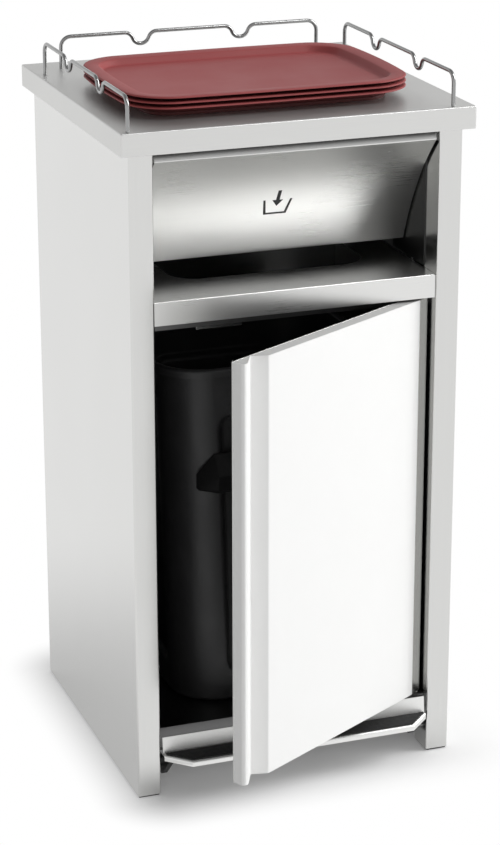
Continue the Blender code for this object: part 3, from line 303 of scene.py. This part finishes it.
# Side panels, each with the front post folded on
panelShape = {"post": 0.037, "return": 0.046, "flange": 0.022, "fold": 0.0028, "wall": 0.0015}
for side, sign in (("left", -1), ("right", 1)):
    low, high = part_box(side + "_side_panel")
    outer = high.x if sign > 0 else low.x
    mouth = outer - sign * panelShape["post"]
    profile = [
        (mouth, low.y + panelShape["return"], low.z),
        (mouth, low.y, low.z),
        (outer, low.y, low.z),
        (outer, high.y, low.z),
        (outer - sign * panelShape["flange"], high.y, low.z),
    ]
    bm = sheetFrom(profile, (0, 0, high.z - low.z))
    roundOff(bm, sharpEdges(bm, 30), panelShape["fold"])
    # the inner faces take the painted inside shade
    giveWall(bm, panelShape["wall"], (-sign, 0, 0), inside=1)
    keepPiece(bm, side + "_panel_sheet", [finishes["upright"], finishes["inner"]], "cabinet", "stainless_sheet",
              side + "_side_panel")
print("side panels folded")


# Worktop: a tray-shaped pressing with its skirt down all round
topShape = {"fold": 0.003, "corner": 0.0025, "wall": 0.0015}
low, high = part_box("worktop")
bm = bmesh.new()
bmesh.ops.create_cube(bm, size=1, matrix=Matrix.LocRotScale((low + high) / 2, None, high - low))
bmesh.ops.delete(bm, geom=[f for f in bm.faces if f.normal.z < -0.5], context="FACES_ONLY")
upright = [e for e in bm.edges if abs(e.verts[0].co.z - e.verts[1].co.z) > near]
roundOff(bm, upright, topShape["corner"])
roundOff(bm, [e for e in sharpEdges(bm, 60) if min(v.co.z for v in e.verts) > high.z - near], topShape["fold"])
# the underside takes the painted inside shade
giveWall(bm, topShape["wall"], (0, 0, -1), inside=1)
keepPiece(bm, "worktop_sheet", [finishes["across"], finishes["inner"]], "cabinet", "stainless_sheet", "worktop")
print("worktop pressed")


# Sill: its front face, the chute floor with the drop hole, and the rear flange
sillShape = {"face": 0.036, "rear": 0.022, "fold": 0.0016, "wall": 0.0015,
             "hole": (0.314, 0.294), "holeCorner": 0.045, "holeSteps": 8}
low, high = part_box("sill")
bm = bmesh.new()
bmesh.ops.create_grid(bm, x_segments=1, y_segments=1, size=0.5, matrix=Matrix.LocRotScale(
    ((low.x + high.x) / 2, (low.y + high.y) / 2, high.z), None, (high.x - low.x, high.y - low.y, 1)))
hole = bmesh.ops.create_grid(bm, x_segments=1, y_segments=1, size=0.5, matrix=Matrix.LocRotScale(
    (0, backShift, high.z), None, (*sillShape["hole"], 1)))["verts"]
roundCorners(bm, hole, sillShape["holeCorner"], sillShape["holeSteps"])
bmesh.ops.delete(bm, geom=bm.faces[:], context="FACES_ONLY")
bmesh.ops.triangle_fill(bm, edges=bm.edges[:], use_beauty=True)
front = [e for e in bm.edges if all(abs(v.co.y - low.y) < near for v in e.verts)]
rear = [e for e in bm.edges if all(abs(v.co.y - high.y) < near for v in e.verts)]
pullEdges(bm, front, (0, 0, -sillShape["face"]))
pullEdges(bm, rear, (0, 0, -sillShape["rear"]))
bmesh.ops.recalc_face_normals(bm, faces=bm.faces[:])
roundOff(bm, sharpEdges(bm, 60), sillShape["fold"])
# the underside takes the painted inside shade
giveWall(bm, sillShape["wall"], (0, 0, -1), inside=1)
keepPiece(bm, "sill_sheet", [finishes["flap"], finishes["inner"]], "cabinet", "stainless_sheet", "sill")
print("sill folded")


# Wire guards, bent from one length each
guardShape = {"gauge": 0.006, "corner": 0.016, "dip": 0.0186, "dipHalf": 0.0172, "dipFloor": 0.0097,
              "dipOffset": 0.0835, "bend": 0.0138, "bendSteps": 6, "sides": 16}


def bentWire(start, along, moves):  # each move: a straight run, then a bend
    g = guardShape
    bm = bmesh.new()
    bmesh.ops.create_circle(bm, cap_ends=True, radius=g["gauge"] / 2, segments=g["sides"],
                            matrix=Matrix.Translation(start))
    ring = bm.edges[:]
    at, heading = Vector(start), Vector((0, 0, 1))
    turn = heading.cross(along)
    for run, angle, radius in moves:
        ring = pullEdges(bm, ring, heading * run)
        at += heading * run
        if angle:
            side = turn.cross(heading) * copysign(radius, angle)
            ends = list({v for e in ring for v in e.verts})
            last = bmesh.ops.spin(bm, geom=ends + ring, cent=at + side, axis=turn, angle=angle,
                                  steps=g["bendSteps"], use_merge=False)["geom_last"]
            ring = only(bmesh.types.BMEdge, last)
            about = Matrix.Rotation(angle, 3, turn)
            at = at + side - about @ side
            heading = about @ heading
    bmesh.ops.contextual_create(bm, geom=ring)
    bmesh.ops.recalc_face_normals(bm, faces=bm.faces[:])
    return bm


def guardMoves(length, height):
    g = guardShape
    top = height - g["gauge"] / 2
    reach = g["dipHalf"] - g["dipFloor"]
    lean = atan2(g["dip"], reach)
    tangent = g["bend"] * tan(lean / 2)
    slope = hypot(reach, g["dip"]) - 2 * tangent
    floor = 2 * g["dipFloor"] - 2 * tangent
    half = (length - g["gauge"]) / 2
    end = half - g["dipOffset"] - g["dipHalf"] - g["corner"] - tangent
    between = 2 * (g["dipOffset"] - g["dipHalf"]) - 2 * tangent
    dip = [(slope, -lean, g["bend"]), (floor, -lean, g["bend"]), (slope, lean, g["bend"])]
    quarter = radians(90)
    return ([(top - g["corner"], quarter, g["corner"]), (end, lean, g["bend"])] + dip
            + [(between, lean, g["bend"])] + dip + [(end, quarter, g["corner"]), (top - g["corner"], 0, 0)])


for node, along in (("left_tray_guard", (0, 1, 0)), ("right_tray_guard", (0, 1, 0)), ("back_tray_guard", (1, 0, 0))):
    low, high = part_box(node)
    middle, along = (low + high) / 2, Vector(along)
    length = (high - low).dot(along)
    start = middle - along * (length - guardShape["gauge"]) / 2
    start.z = low.z
    moves = guardMoves(length, high.z - low.z)
    keepPiece(bentWire(start, along, moves), node + "_wire", [finishes["wire"]], "cabinet", "chrome_wire", node,
              flats=False)
print("guards bent")


# Flap: a bowed face with a flange along its top and a stiffening fold at its foot
flapShape = {"run": 0.1185, "drop": 0.181, "bow": 0.012, "flange": 0.028, "flangeLean": radians(68), "foot": 0.016,
             "lean": radians(38), "fold": 0.0012, "wall": 0.0015, "steps": 32}
low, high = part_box("flap")
flapTop = Vector((0, low.y, low.z + flapShape["drop"]))
flapDown = Vector((0, flapShape["run"], -flapShape["drop"]))
flapBack = Vector((0, flapShape["drop"], flapShape["run"])).normalized()


def flapPoint(share):
    return flapTop + flapDown * share + flapBack * flapShape["bow"] * 4 * share * (1 - share)


profile = [flapTop + Vector((0, cos(flapShape["flangeLean"]), sin(flapShape["flangeLean"]))) * flapShape["flange"]]
profile += [flapPoint(i / flapShape["steps"]) for i in range(flapShape["steps"] + 1)]
profile.append(profile[-1] + Vector((0, sin(flapShape["lean"]), cos(flapShape["lean"]))) * flapShape["foot"])
bm = sheetFrom([point + Vector((low.x, 0, 0)) for point in profile], (high.x - low.x, 0, 0))
roundOff(bm, sharpEdges(bm, 25), flapShape["fold"])
giveWall(bm, flapShape["wall"], (0, 0, -1))
keepPiece(bm, "flap_sheet", [finishes["flap"]], "flap", "stainless_sheet", "flap", crease=30)
print("flap bowed")


# Door skin, drawn from its hinge axis and then swung open
doorShape = {"hingeEdge": 0.007, "facet": (0.024, 0.0029), "face": -0.0093, "freeEdge": -0.431, "rear": 0.0107,
             "groove": 0.046, "grooveFloor": 0.0195, "grooveDepth": 0.0180, "nose": 0.010,
             "chamfer": (0.0035, 0.0043), "fold": 0.0018, "wall": 0.0012, "open": radians(30)}
pinLow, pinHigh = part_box("door_top_pin")
hingeAt = Matrix.Translation(((pinLow.x + pinHigh.x) / 2, (pinLow.y + pinHigh.y) / 2, 0))
hinge = hingeAt @ Matrix.Rotation(doorShape["open"], 4, "Z")
low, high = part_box("door_skin")
d = doorShape
faceEdge = d["freeEdge"] + d["nose"] + d["groove"]
profile = [
    (d["hingeEdge"], d["rear"], low.z),
    (d["hingeEdge"], d["face"] + d["facet"][1], low.z),
    (d["hingeEdge"] - d["facet"][0], d["face"], low.z),
    (faceEdge, d["face"], low.z),
    (faceEdge - d["grooveFloor"], d["face"] + d["grooveDepth"], low.z),
    (faceEdge - d["groove"], d["face"], low.z),
    (d["freeEdge"] + d["chamfer"][0], d["face"], low.z),
    (d["freeEdge"], d["face"] + d["chamfer"][1], low.z),
    (d["freeEdge"], d["rear"], low.z),
]
bm = sheetFrom(profile, (0, 0, high.z - low.z))
roundOff(bm, sharpEdges(bm, 4), d["fold"])
giveWall(bm, d["wall"], (0, 1, 0))
for face in bm.faces:
    if face.calc_center_median().x > d["hingeEdge"] - d["facet"][0]:
        face.material_index = 1  # the strip by the hinge is left bare
bmesh.ops.transform(bm, matrix=hinge, verts=bm.verts[:])
keepPiece(bm, "door_skin_sheet", [finishes["enamel"], finishes["upright"]], "door", "door_sheet", "door_skin")
print("door skin folded")


# Pedal: upright, tread and lip from one sheet, with a rubber mat on the tread
pedalShape = {"upright": 0.026, "leanBack": 0.0026, "reach": 0.0405, "chamfer": (0.035, 0.0335), "lip": 0.0095,
              "fold": 0.002, "lipFold": 0.0045, "wall": 0.0015, "matEdge": 0.0007}
p = pedalShape
low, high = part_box("pedal_plate")
treadZ = low.z + p["lip"]
rearY = low.y + p["reach"]
cutX, cutY = p["chamfer"]
corners = [(high.x, rearY), (high.x, low.y + cutY), (high.x - cutX, low.y),
           (low.x + cutX, low.y), (low.x, low.y + cutY), (low.x, rearY)]
bm = bmesh.new()
treadVerts = [bm.verts.new((x, y, treadZ)) for x, y in corners]
tread = bmesh.ops.contextual_create(bm, geom=treadVerts)["faces"][0]
rear = [e for e in tread.edges if all(abs(v.co.y - rearY) < near for v in e.verts)]
lip = [e for e in tread.edges if min(v.co.y for v in e.verts) < low.y + near]
pullEdges(bm, rear, (0, p["leanBack"], p["upright"]))
pullEdges(bm, lip, (0, 0, -p["lip"]))
bmesh.ops.recalc_face_normals(bm, faces=bm.faces[:])
roundOff(bm, [e for e in sharpEdges(bm, 60) if min(v.co.y for v in e.verts) < rearY - near], p["lipFold"], 6)
roundOff(bm, [e for e in sharpEdges(bm, 30) if min(v.co.y for v in e.verts) > rearY - 2 * near], p["fold"])
giveWall(bm, p["wall"], (0, 0, -1))
keepPiece(bm, "pedal_sheet", [finishes["pedal"]], "pedal", "stainless_sheet", "pedal_plate")
softCopy("pedal_mat", finishes["rubber"], p["matEdge"])
print("pedal folded")


# Bin: a tapered shell with round-cornered recesses and a turned rim
binShape = {"foot": (0.150, 0.145), "top": (0.174, 0.164), "corner": 0.072, "cornerSteps": 10, "footRound": 0.008,
            "wall": 0.003, "wallEdge": 0.0006, "rim": 0.006, "rimDrop": 0.010, "rimRound": 0.0025,
            "recessLow": 0.045, "recessHigh": 0.072, "recess": 0.010, "recessSlope": 0.008, "recessRound": 0.020,
            "recessSteps": 8, "recessEdge": 0.004, "margin": 0.004, "endBand": 0.01, "gripEdge": 0.009,
            "wallArea": 0.04, "recessArea": 0.03}  # the flat sides are the only faces larger than these
b = binShape
low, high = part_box("bin_shell")
centre = Vector((0, (low.y + high.y) / 2, 0))
fromCentre = Matrix.Translation(-centre)
bm = bmesh.new()
bmesh.ops.create_cube(bm, size=1, matrix=Matrix.LocRotScale(
    centre + Vector((0, 0, (low.z + high.z) / 2)), None, (2 * b["foot"][0], 2 * b["foot"][1], high.z - low.z)))
topVerts = [v for v in bm.verts if v.co.z > high.z - near]
flare = (b["top"][0] / b["foot"][0], b["top"][1] / b["foot"][1], 1)
bmesh.ops.scale(bm, vec=flare, space=fromCentre, verts=topVerts)
bmesh.ops.delete(bm, geom=[f for f in bm.faces if f.normal.z > 0.9], context="FACES_ONLY")
upright = [e for e in bm.edges if abs(e.verts[0].co.z - e.verts[1].co.z) > near]
roundOff(bm, upright, b["corner"], b["cornerSteps"])
for level in (low.z + b["recessLow"], high.z - b["recessHigh"]):
    everything = bm.verts[:] + bm.edges[:] + bm.faces[:]
    bmesh.ops.bisect_plane(bm, geom=everything, plane_co=(0, 0, level), plane_no=(0, 0, 1))
walls = [f for f in bm.faces if f.calc_area() > b["wallArea"] and abs(f.normal.z) < 0.5]
for wall in walls:
    inner = only(bmesh.types.BMVert, bmesh.ops.duplicate(bm, geom=[wall])["geom"])
    middle = wall.calc_center_median()
    size = [max(v.co[i] for v in inner) - min(v.co[i] for v in inner) for i in range(3)]
    run, rise = 1 - 2 * b["margin"] / max(size[:2]), 1 - 2 * b["margin"] / size[2]
    share = (run, rise, rise) if size[0] > size[1] else (rise, run, rise)
    bmesh.ops.scale(bm, vec=share, space=Matrix.Translation(-middle), verts=inner)
    roundCorners(bm, inner, b["recessRound"], b["recessSteps"])
    loose = [f for f in bm.faces if all(e.is_boundary for e in f.edges)]
    border = wall.edges[:] + [e for f in loose for e in f.edges]
    bmesh.ops.delete(bm, geom=[wall], context="FACES_ONLY")
    bmesh.ops.bridge_loops(bm, edges=border)
bmesh.ops.recalc_face_normals(bm, faces=bm.faces[:])
recesses = [f for f in bm.faces if f.calc_area() > b["recessArea"] and abs(f.normal.z) < 0.5]
bmesh.ops.inset_individual(bm, faces=recesses, thickness=b["recessSlope"], depth=-b["recess"], use_even_offset=True)
for face in recesses:
    face.material_index = 1  # painted shade: a darker copy of the bin's plastic down in the recess
bm.normal_update()
between = [e for e in sharpEdges(bm, 25) if low.z + b["endBand"] < e.verts[0].co.z < high.z - b["endBand"]]
roundOff(bm, between, b["recessEdge"], 3)
roundOff(bm, [e for e in sharpEdges(bm, 60) if max(v.co.z for v in e.verts) < low.z + near], b["footRound"], 4)
brim = pullEdges(bm, [e for e in bm.edges if e.is_boundary], (0, 0, 0))
brimVerts = list({v for e in brim for v in e.verts})
flare = (1 + b["rim"] / b["top"][0], 1 + b["rim"] / b["top"][1], 1)
bmesh.ops.scale(bm, vec=flare, space=fromCentre, verts=brimVerts)
pullEdges(bm, brim, (0, 0, -b["rimDrop"]))
bmesh.ops.recalc_face_normals(bm, faces=bm.faces[:])
roundOff(bm, [e for e in sharpEdges(bm, 60) if e.verts[0].co.z > high.z - near], b["rimRound"], 3)
giveWall(bm, b["wall"], (0, 0, 1), rim=b["wallEdge"])
keepPiece(bm, "bin_moulding", [finishes["bin"], finishes["binRecessShade"]], "bin", "bin_plastic", "bin_shell", crease=50)
softCopy("bin_handle", finishes["grip"], b["gripEdge"], 5)
print("bin moulded")


# Trays, stacked as they stand
trayShape = {"corner": 0.062, "cornerSteps": 16, "sideCuts": 11, "bow": (0.010, 0.005), "turn": 0.0024,
             "wall": 0.003, "wallEdge": 0.0006, "footWidth": 0.006,
             "steps": ((0.0004, 0.0012), (0.0010, 0.0009), (0.0016, 0.0003), (0.0190, -0.0010), (0.0015, -0.0006),
                       (0.0015, -0.0018), (0.0030, -0.0050), (0.0015, -0.0017),
                       (0.0025, -0.0004))}  # in from the edge, and up or down
t = trayShape
for node in ("tray_1", "tray_2", "tray_3"):
    low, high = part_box(node)
    bm = bmesh.new()
    bmesh.ops.create_grid(bm, x_segments=1, y_segments=1, size=0.5, matrix=Matrix.LocRotScale(
        ((low.x + high.x) / 2, (low.y + high.y) / 2, high.z - t["turn"]), None, (high.x - low.x, high.y - low.y, 1)))
    roundCorners(bm, bm.verts[:], t["corner"], t["cornerSteps"])
    bmesh.ops.delete(bm, geom=bm.faces[:], context="FACES_ONLY")
    sides = [e for e in bm.edges if e.calc_length() > t["corner"]]
    bmesh.ops.subdivide_edges(bm, edges=sides, cuts=t["sideCuts"])
    for vert in bm.verts:  # the short sides bow out, the long ones draw in to the corners
        aside = (2 * vert.co.x - low.x - high.x) / (high.x - low.x)
        along = (2 * vert.co.y - low.y - high.y) / (high.y - low.y)
        vert.co += Vector((t["bow"][0] * aside * (1 - along ** 2), -t["bow"][1] * along * aside ** 2, 0))
    well = bmesh.ops.edgeloop_fill(bm, edges=bm.edges[:])["faces"][0]
    for inset, rise in t["steps"]:
        bmesh.ops.inset_region(bm, faces=[well], thickness=inset, use_even_offset=True, use_boundary=True)
        bmesh.ops.translate(bm, vec=(0, 0, rise), verts=well.verts[:])
    # the pressing's underside takes the painted shade
    giveWall(bm, t["wall"], (0, 0, -1), inside=1, rim=t["wallEdge"])
    under = max((f for f in bm.faces if f.normal.z < -0.9), key=lambda face: face.calc_area())
    ring = bmesh.ops.inset_region(bm, faces=[under], thickness=t["footWidth"], use_even_offset=True)["faces"]
    raised = bmesh.ops.extrude_face_region(bm, geom=ring)["geom"]
    drop = low.z - under.calc_center_median().z
    bmesh.ops.translate(bm, vec=(0, 0, drop), verts=only(bmesh.types.BMVert, raised))
    bmesh.ops.delete(bm, geom=ring, context="FACES")
    keepPiece(bm, node + "_pressing", [finishes["resin"], finishes["undersideShade"]], node, "tray_resin", node,
              flats=False)
print("trays pressed")


# Small fittings keep the solid's form, with their edges broken
fittings = {
    # these fittings inside the cabinet take the painted inside shade
    "inner": ("base_panel", "door_stop_rail", "foot_pivot_bracket", "balance_bar", "left_flap_arm", "right_flap_arm"),
    # the chute cheeks take the painted cheek shade
    "chute": ("left_chute_cheek", "right_chute_cheek"),
    "upright": ("back_panel", "door_liner"),
    "wire": ("magnetic_catch", "left_pedal_pin", "right_pedal_pin", "door_top_pin", "door_foot_pin", "door_keeper",
             "left_flap_pin", "right_flap_pin", "flap_crank", "push_rod"),
    "acetal": ("front_left_foot", "front_right_foot", "back_left_foot", "back_right_foot", "left_flap_bearing",
               "right_flap_bearing"),
    "whiteAcetal": ("top_pivot_bush", "foot_pivot_bush"),
}
fittingEdge = {"inner": 0.0003, "chute": 0.0003, "upright": 0.0003, "wire": 0.0005, "acetal": 0.0012,
               "whiteAcetal": 0.0004}
# the door's caps take the enamel painted with shade
asCut = {"capEnamel": ("door_top_cap", "door_foot_cap"), "blackCoat": ("left_pedal_arm", "right_pedal_arm"),
         "acetal": ("lower_rod_guide", "upper_rod_guide")}
for finish, names in fittings.items():
    for node in names:
        softCopy(node, finishes[finish], fittingEdge[finish])
for finish, names in asCut.items():  # plates and guides keep the solid as it is
    for node in names:
        frame["nodes"][node].material_slots[0].material = finishes[finish]
print("fittings:", sum(len(names) for group in (fittings, asCut) for names in group.values()))


# Back screws: button heads with a round socket
screwShape = {"radius": 0.0045, "dome": ((1, 0), (1, 0.3), (0.8, 0.8), (0.5, 1)),  # shares of radius and height
              "socket": 0.0014, "socketDepth": 0.0013, "socketDraft": 0.0001, "sides": 24}
s = screwShape
for side in ("left", "right"):
    for row in "123":
        node = f"back_screw_{side}_{row}"
        low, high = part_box(node)
        height = high.y - low.y
        seat = Matrix.Translation(((low.x + high.x) / 2, low.y, (low.z + high.z) / 2))
        bm = bmesh.new()
        line = [bm.verts.new((s["radius"] * out, 0, height * up)) for out, up in s["dome"]]
        chain = [bm.edges.new(pair) for pair in zip(line, line[1:])]
        bmesh.ops.spin(bm, geom=line + chain, cent=(0, 0, 0), axis=(0, 0, 1), angle=radians(360),
                       steps=s["sides"], use_merge=True)
        bmesh.ops.remove_doubles(bm, verts=bm.verts[:], dist=mergeGap)
        bmesh.ops.holes_fill(bm, edges=[e for e in bm.edges if e.is_boundary], sides=0)
        bmesh.ops.recalc_face_normals(bm, faces=bm.faces[:])
        crown = max(bm.faces, key=lambda face: face.calc_center_median().z)
        land = s["radius"] * s["dome"][-1][0] - s["socket"]
        bmesh.ops.inset_individual(bm, faces=[crown], thickness=land, use_even_offset=True)
        bmesh.ops.inset_individual(bm, faces=[crown], thickness=s["socketDraft"], depth=-s["socketDepth"],
                                   use_even_offset=True)
        bmesh.ops.transform(bm, matrix=seat @ Matrix.Rotation(radians(-90), 4, "X"), verts=bm.verts[:])
        keepPiece(bm, node + "_head", [finishes["wire"]], "cabinet", "chrome_wire", node)
print("screws turned")


# Pictogram on the flap: an arrow dropping into an open bin, in thin printed film
signShape = {"x": -0.004, "share": 0.53, "span": 0.02, "film": 0.00025, "sink": 0.0001,
             "binTop": 0.046, "binFoot": 0.036, "binHeight": 0.030, "line": 0.0034,
             "arrowTop": 0.0195, "neck": -0.001, "tip": -0.01375, "headHalf": 0.0085, "stemShare": 0.8}
g = signShape
across = Vector((1, 0, 0))
upFace = -(flapPoint(g["share"] + g["span"]) - flapPoint(g["share"] - g["span"])).normalized()
outFace = across.cross(upFace)
if outFace.y > 0:
    outFace.negate()
half, foot, depth, line = g["binTop"] / 2, g["binFoot"] / 2, -g["binHeight"], g["line"]
stem, head, neck = line * g["stemShare"], g["headHalf"], g["neck"]
shapes = [
    [(-half, 0), (-half + line, 0), (-foot + line, depth + line), (-foot, depth)],
    [(-foot, depth), (-foot + line, depth + line), (foot - line, depth + line), (foot, depth)],
    [(foot, depth), (foot - line, depth + line), (half - line, 0), (half, 0)],
    [(-stem, g["arrowTop"]), (-stem, neck), (stem, neck), (stem, g["arrowTop"])],
    [(-head, neck), (0, g["tip"]), (head, neck)],
]
bm = bmesh.new()
for shape in shapes:
    bmesh.ops.contextual_create(bm, geom=[bm.verts.new((x, y, 0)) for x, y in shape])
film = bmesh.ops.extrude_face_region(bm, geom=bm.faces[:])["geom"]
bmesh.ops.translate(bm, vec=(0, 0, g["film"] + g["sink"]), verts=only(bmesh.types.BMVert, film))
bmesh.ops.recalc_face_normals(bm, faces=bm.faces[:])
for vert in bm.verts:  # laid on the bowed face
    x, y, rise = vert.co
    vert.co = flapPoint(g["share"] - y / flapDown.length) + across * (g["x"] + x) + outFace * (rise - g["sink"])
keepPiece(bm, "flap_pictogram", [finishes["ink"]], "flap", "black_paint", flats=False)
print("pictogram laid on the flap")


# Studio: white floor, soft lamps and a pale surround
studio = {"floor": "#FBFBFB", "floorSize": 60.0, "footprint": (0.235, 0.251, 1.0), "footShift": 0.025,
          "shadowReach": 0.13, "shadowLift": 0.13, "leftEdge": -0.26, "leftReach": 0.60, "leftLift": 0.28,
          "surround": (0.124, 0.944), "ceiling": 0.35, "wallTop": 0.08, "ceilingFrom": 0.75, "aim": (0, 0, 0.5),
          "lamps": (("key", (4.0, -1.0, 2.8), 2.4, 125.0, True),
                    ("sheen", (1.6, -1.4, 4.4), 1.0, 34.0, False))}  # place, size, watts, and if it lights matt faces


def backgroundRays(tree, path):  # the white background is for what the camera sees, straight or mirrored
    seen = addNode(tree, "Math", {0: path["Is Camera Ray"], 1: path["Is Glossy Ray"]}, operation="MAXIMUM")
    seen = addNode(tree, "Math", {0: seen.outputs[0], 1: path["Is Transmission Ray"]}, operation="MAXIMUM")
    return seen.outputs[0]


material, tree, place = newTree("matt_white_vinyl_floor")
sweep = addNode(tree, "TexNoise", {"Vector": place, "Scale": 1 / 0.8, "Detail": 2.0})  # 800 mm sweeps of the mop
dry = addNode(tree, "MapRange", {"Value": sweep.outputs[0], "To Min": 0.85, "To Max": 0.95})
shader = addNode(tree, "BsdfPrincipled", {"Base Color": hexColour(studio["floor"]), "Roughness": dry.outputs[0],
                                          "Specular IOR Level": 0.2})
path = addNode(tree, "LightPath").outputs
seen = backgroundRays(tree, path)
away = addNode(tree, "VectorMath", {0: place, 1: (studio["footShift"], backShift, 0)}, operation="SUBTRACT")
away = addNode(tree, "VectorMath", {0: away.outputs[0]}, operation="ABSOLUTE")
away = addNode(tree, "VectorMath", {0: away.outputs[0], 1: studio["footprint"]}, operation="SUBTRACT")
away = addNode(tree, "VectorMath", {0: away.outputs[0], 1: (0, 0, 0)}, operation="MAXIMUM")
away = addNode(tree, "VectorMath", {0: away.outputs[0]}, operation="LENGTH")
sideways = addNode(tree, "SeparateXYZ", {"Vector": place}).outputs["X"]
left = addNode(tree, "Math", {0: sideways, 1: studio["leftEdge"]}, operation="LESS_THAN")
left = addNode(tree, "Math", {0: left.outputs[0], 1: path["Is Glossy Ray"]}, operation="MULTIPLY")
reach = addNode(tree, "Math", {0: left.outputs[0], 1: studio["leftReach"], 2: studio["shadowReach"]},
                operation="MULTIPLY_ADD")  # the left side mirrors the shaded floor further out
least = addNode(tree, "Math", {0: left.outputs[0], 1: studio["leftLift"], 2: studio["shadowLift"]},
                operation="MULTIPLY_ADD")
clear = addNode(tree, "MapRange", {"Value": away.outputs["Value"], "From Max": reach.outputs[0],
                                   "To Min": least.outputs[0]},
                interpolation_type="SMOOTHSTEP")  # past the shadow the floor runs out to white
share = addNode(tree, "Math", {0: seen, 1: clear.outputs[0]}, operation="MULTIPLY")
white = addNode(tree, "Emission", {"Color": hexColour("#FFFFFF"), "Strength": 1.0})
surface = addNode(tree, "MixShader", {0: share.outputs[0], 1: shader.outputs[0], 2: white.outputs[0]})
addNode(tree, "OutputMaterial", {"Surface": surface.outputs[0]})
bm = bmesh.new()
bmesh.ops.create_grid(bm, x_segments=1, y_segments=1, size=studio["floorSize"] / 2)
mesh = bpy.data.meshes.new("studio_floor")
bm.to_mesh(mesh)
bm.free()
mesh.materials.append(material)
floor = bpy.data.objects.new("studio_floor", mesh)
scene.collection.objects.link(floor)

world = bpy.data.worlds.new("studio_surround")
world.use_nodes = True
scene.world = world
tree = world.node_tree
tree.nodes.clear()
seen = backgroundRays(tree, addNode(tree, "LightPath").outputs)
aim = addNode(tree, "SeparateXYZ", {"Vector": addNode(tree, "TexCoord").outputs["Generated"]})
glow = addNode(tree, "MapRange", {"Value": aim.outputs["X"], "From Min": -1.0, "From Max": 1.0,
                                  "To Min": studio["surround"][0],
                                  "To Max": studio["surround"][1]})  # brightest on the right
room = addNode(tree, "ValToRGB", {"Fac": aim.outputs["Z"]})  # white walls under a dim ceiling
wallStop, ceilingStop = room.color_ramp.elements
wallStop.position, wallStop.color = studio["wallTop"], (1, 1, 1, 1)
ceilingStop.position, ceilingStop.color = studio["ceilingFrom"], [studio["ceiling"]] * 3 + [1]
level = addNode(tree, "Mix", {0: seen, 6: glow.outputs[0], 7: room.outputs[0]}, data_type="RGBA")
background = addNode(tree, "Background", {"Color": level.outputs[2], "Strength": 1.0})
addNode(tree, "OutputWorld", {"Surface": background.outputs[0]})

for name, spot, size, power, onMatt in studio["lamps"]:
    lamp = bpy.data.lights.new(name + "_softbox", "AREA")
    lamp.size, lamp.energy = size, power
    holder = bpy.data.objects.new(name + "_softbox", lamp)
    holder.visible_diffuse = onMatt  # the sheen is for gloss only
    holder.location = spot
    holder.rotation_euler = (Vector(studio["aim"]) - Vector(spot)).to_track_quat("-Z", "Y").to_euler()
    scene.collection.objects.link(holder)

view = {"place": (-1.322564, -3.692083, 1.867311), "pitch": 18.884, "yaw": 19.905, "roll": 0.055, "lens": 110.568,
        "sensor": 36, "shift": (0.00116, -0.01642)}
camera = bpy.data.cameras.new("photo_camera")
camera.lens = view["lens"]
camera.sensor_width = view["sensor"]
camera.shift_x, camera.shift_y = view["shift"]
holder = bpy.data.objects.new("photo_camera", camera)
holder.location = Vector(view["place"]) + Vector((0, backShift, 0))
holder.rotation_euler = (radians(90 - view["pitch"]), radians(view["roll"]), radians(-view["yaw"]))
scene.collection.objects.link(holder)
scene.camera = holder
scene.view_settings.view_transform = "Standard"
print("studio set")
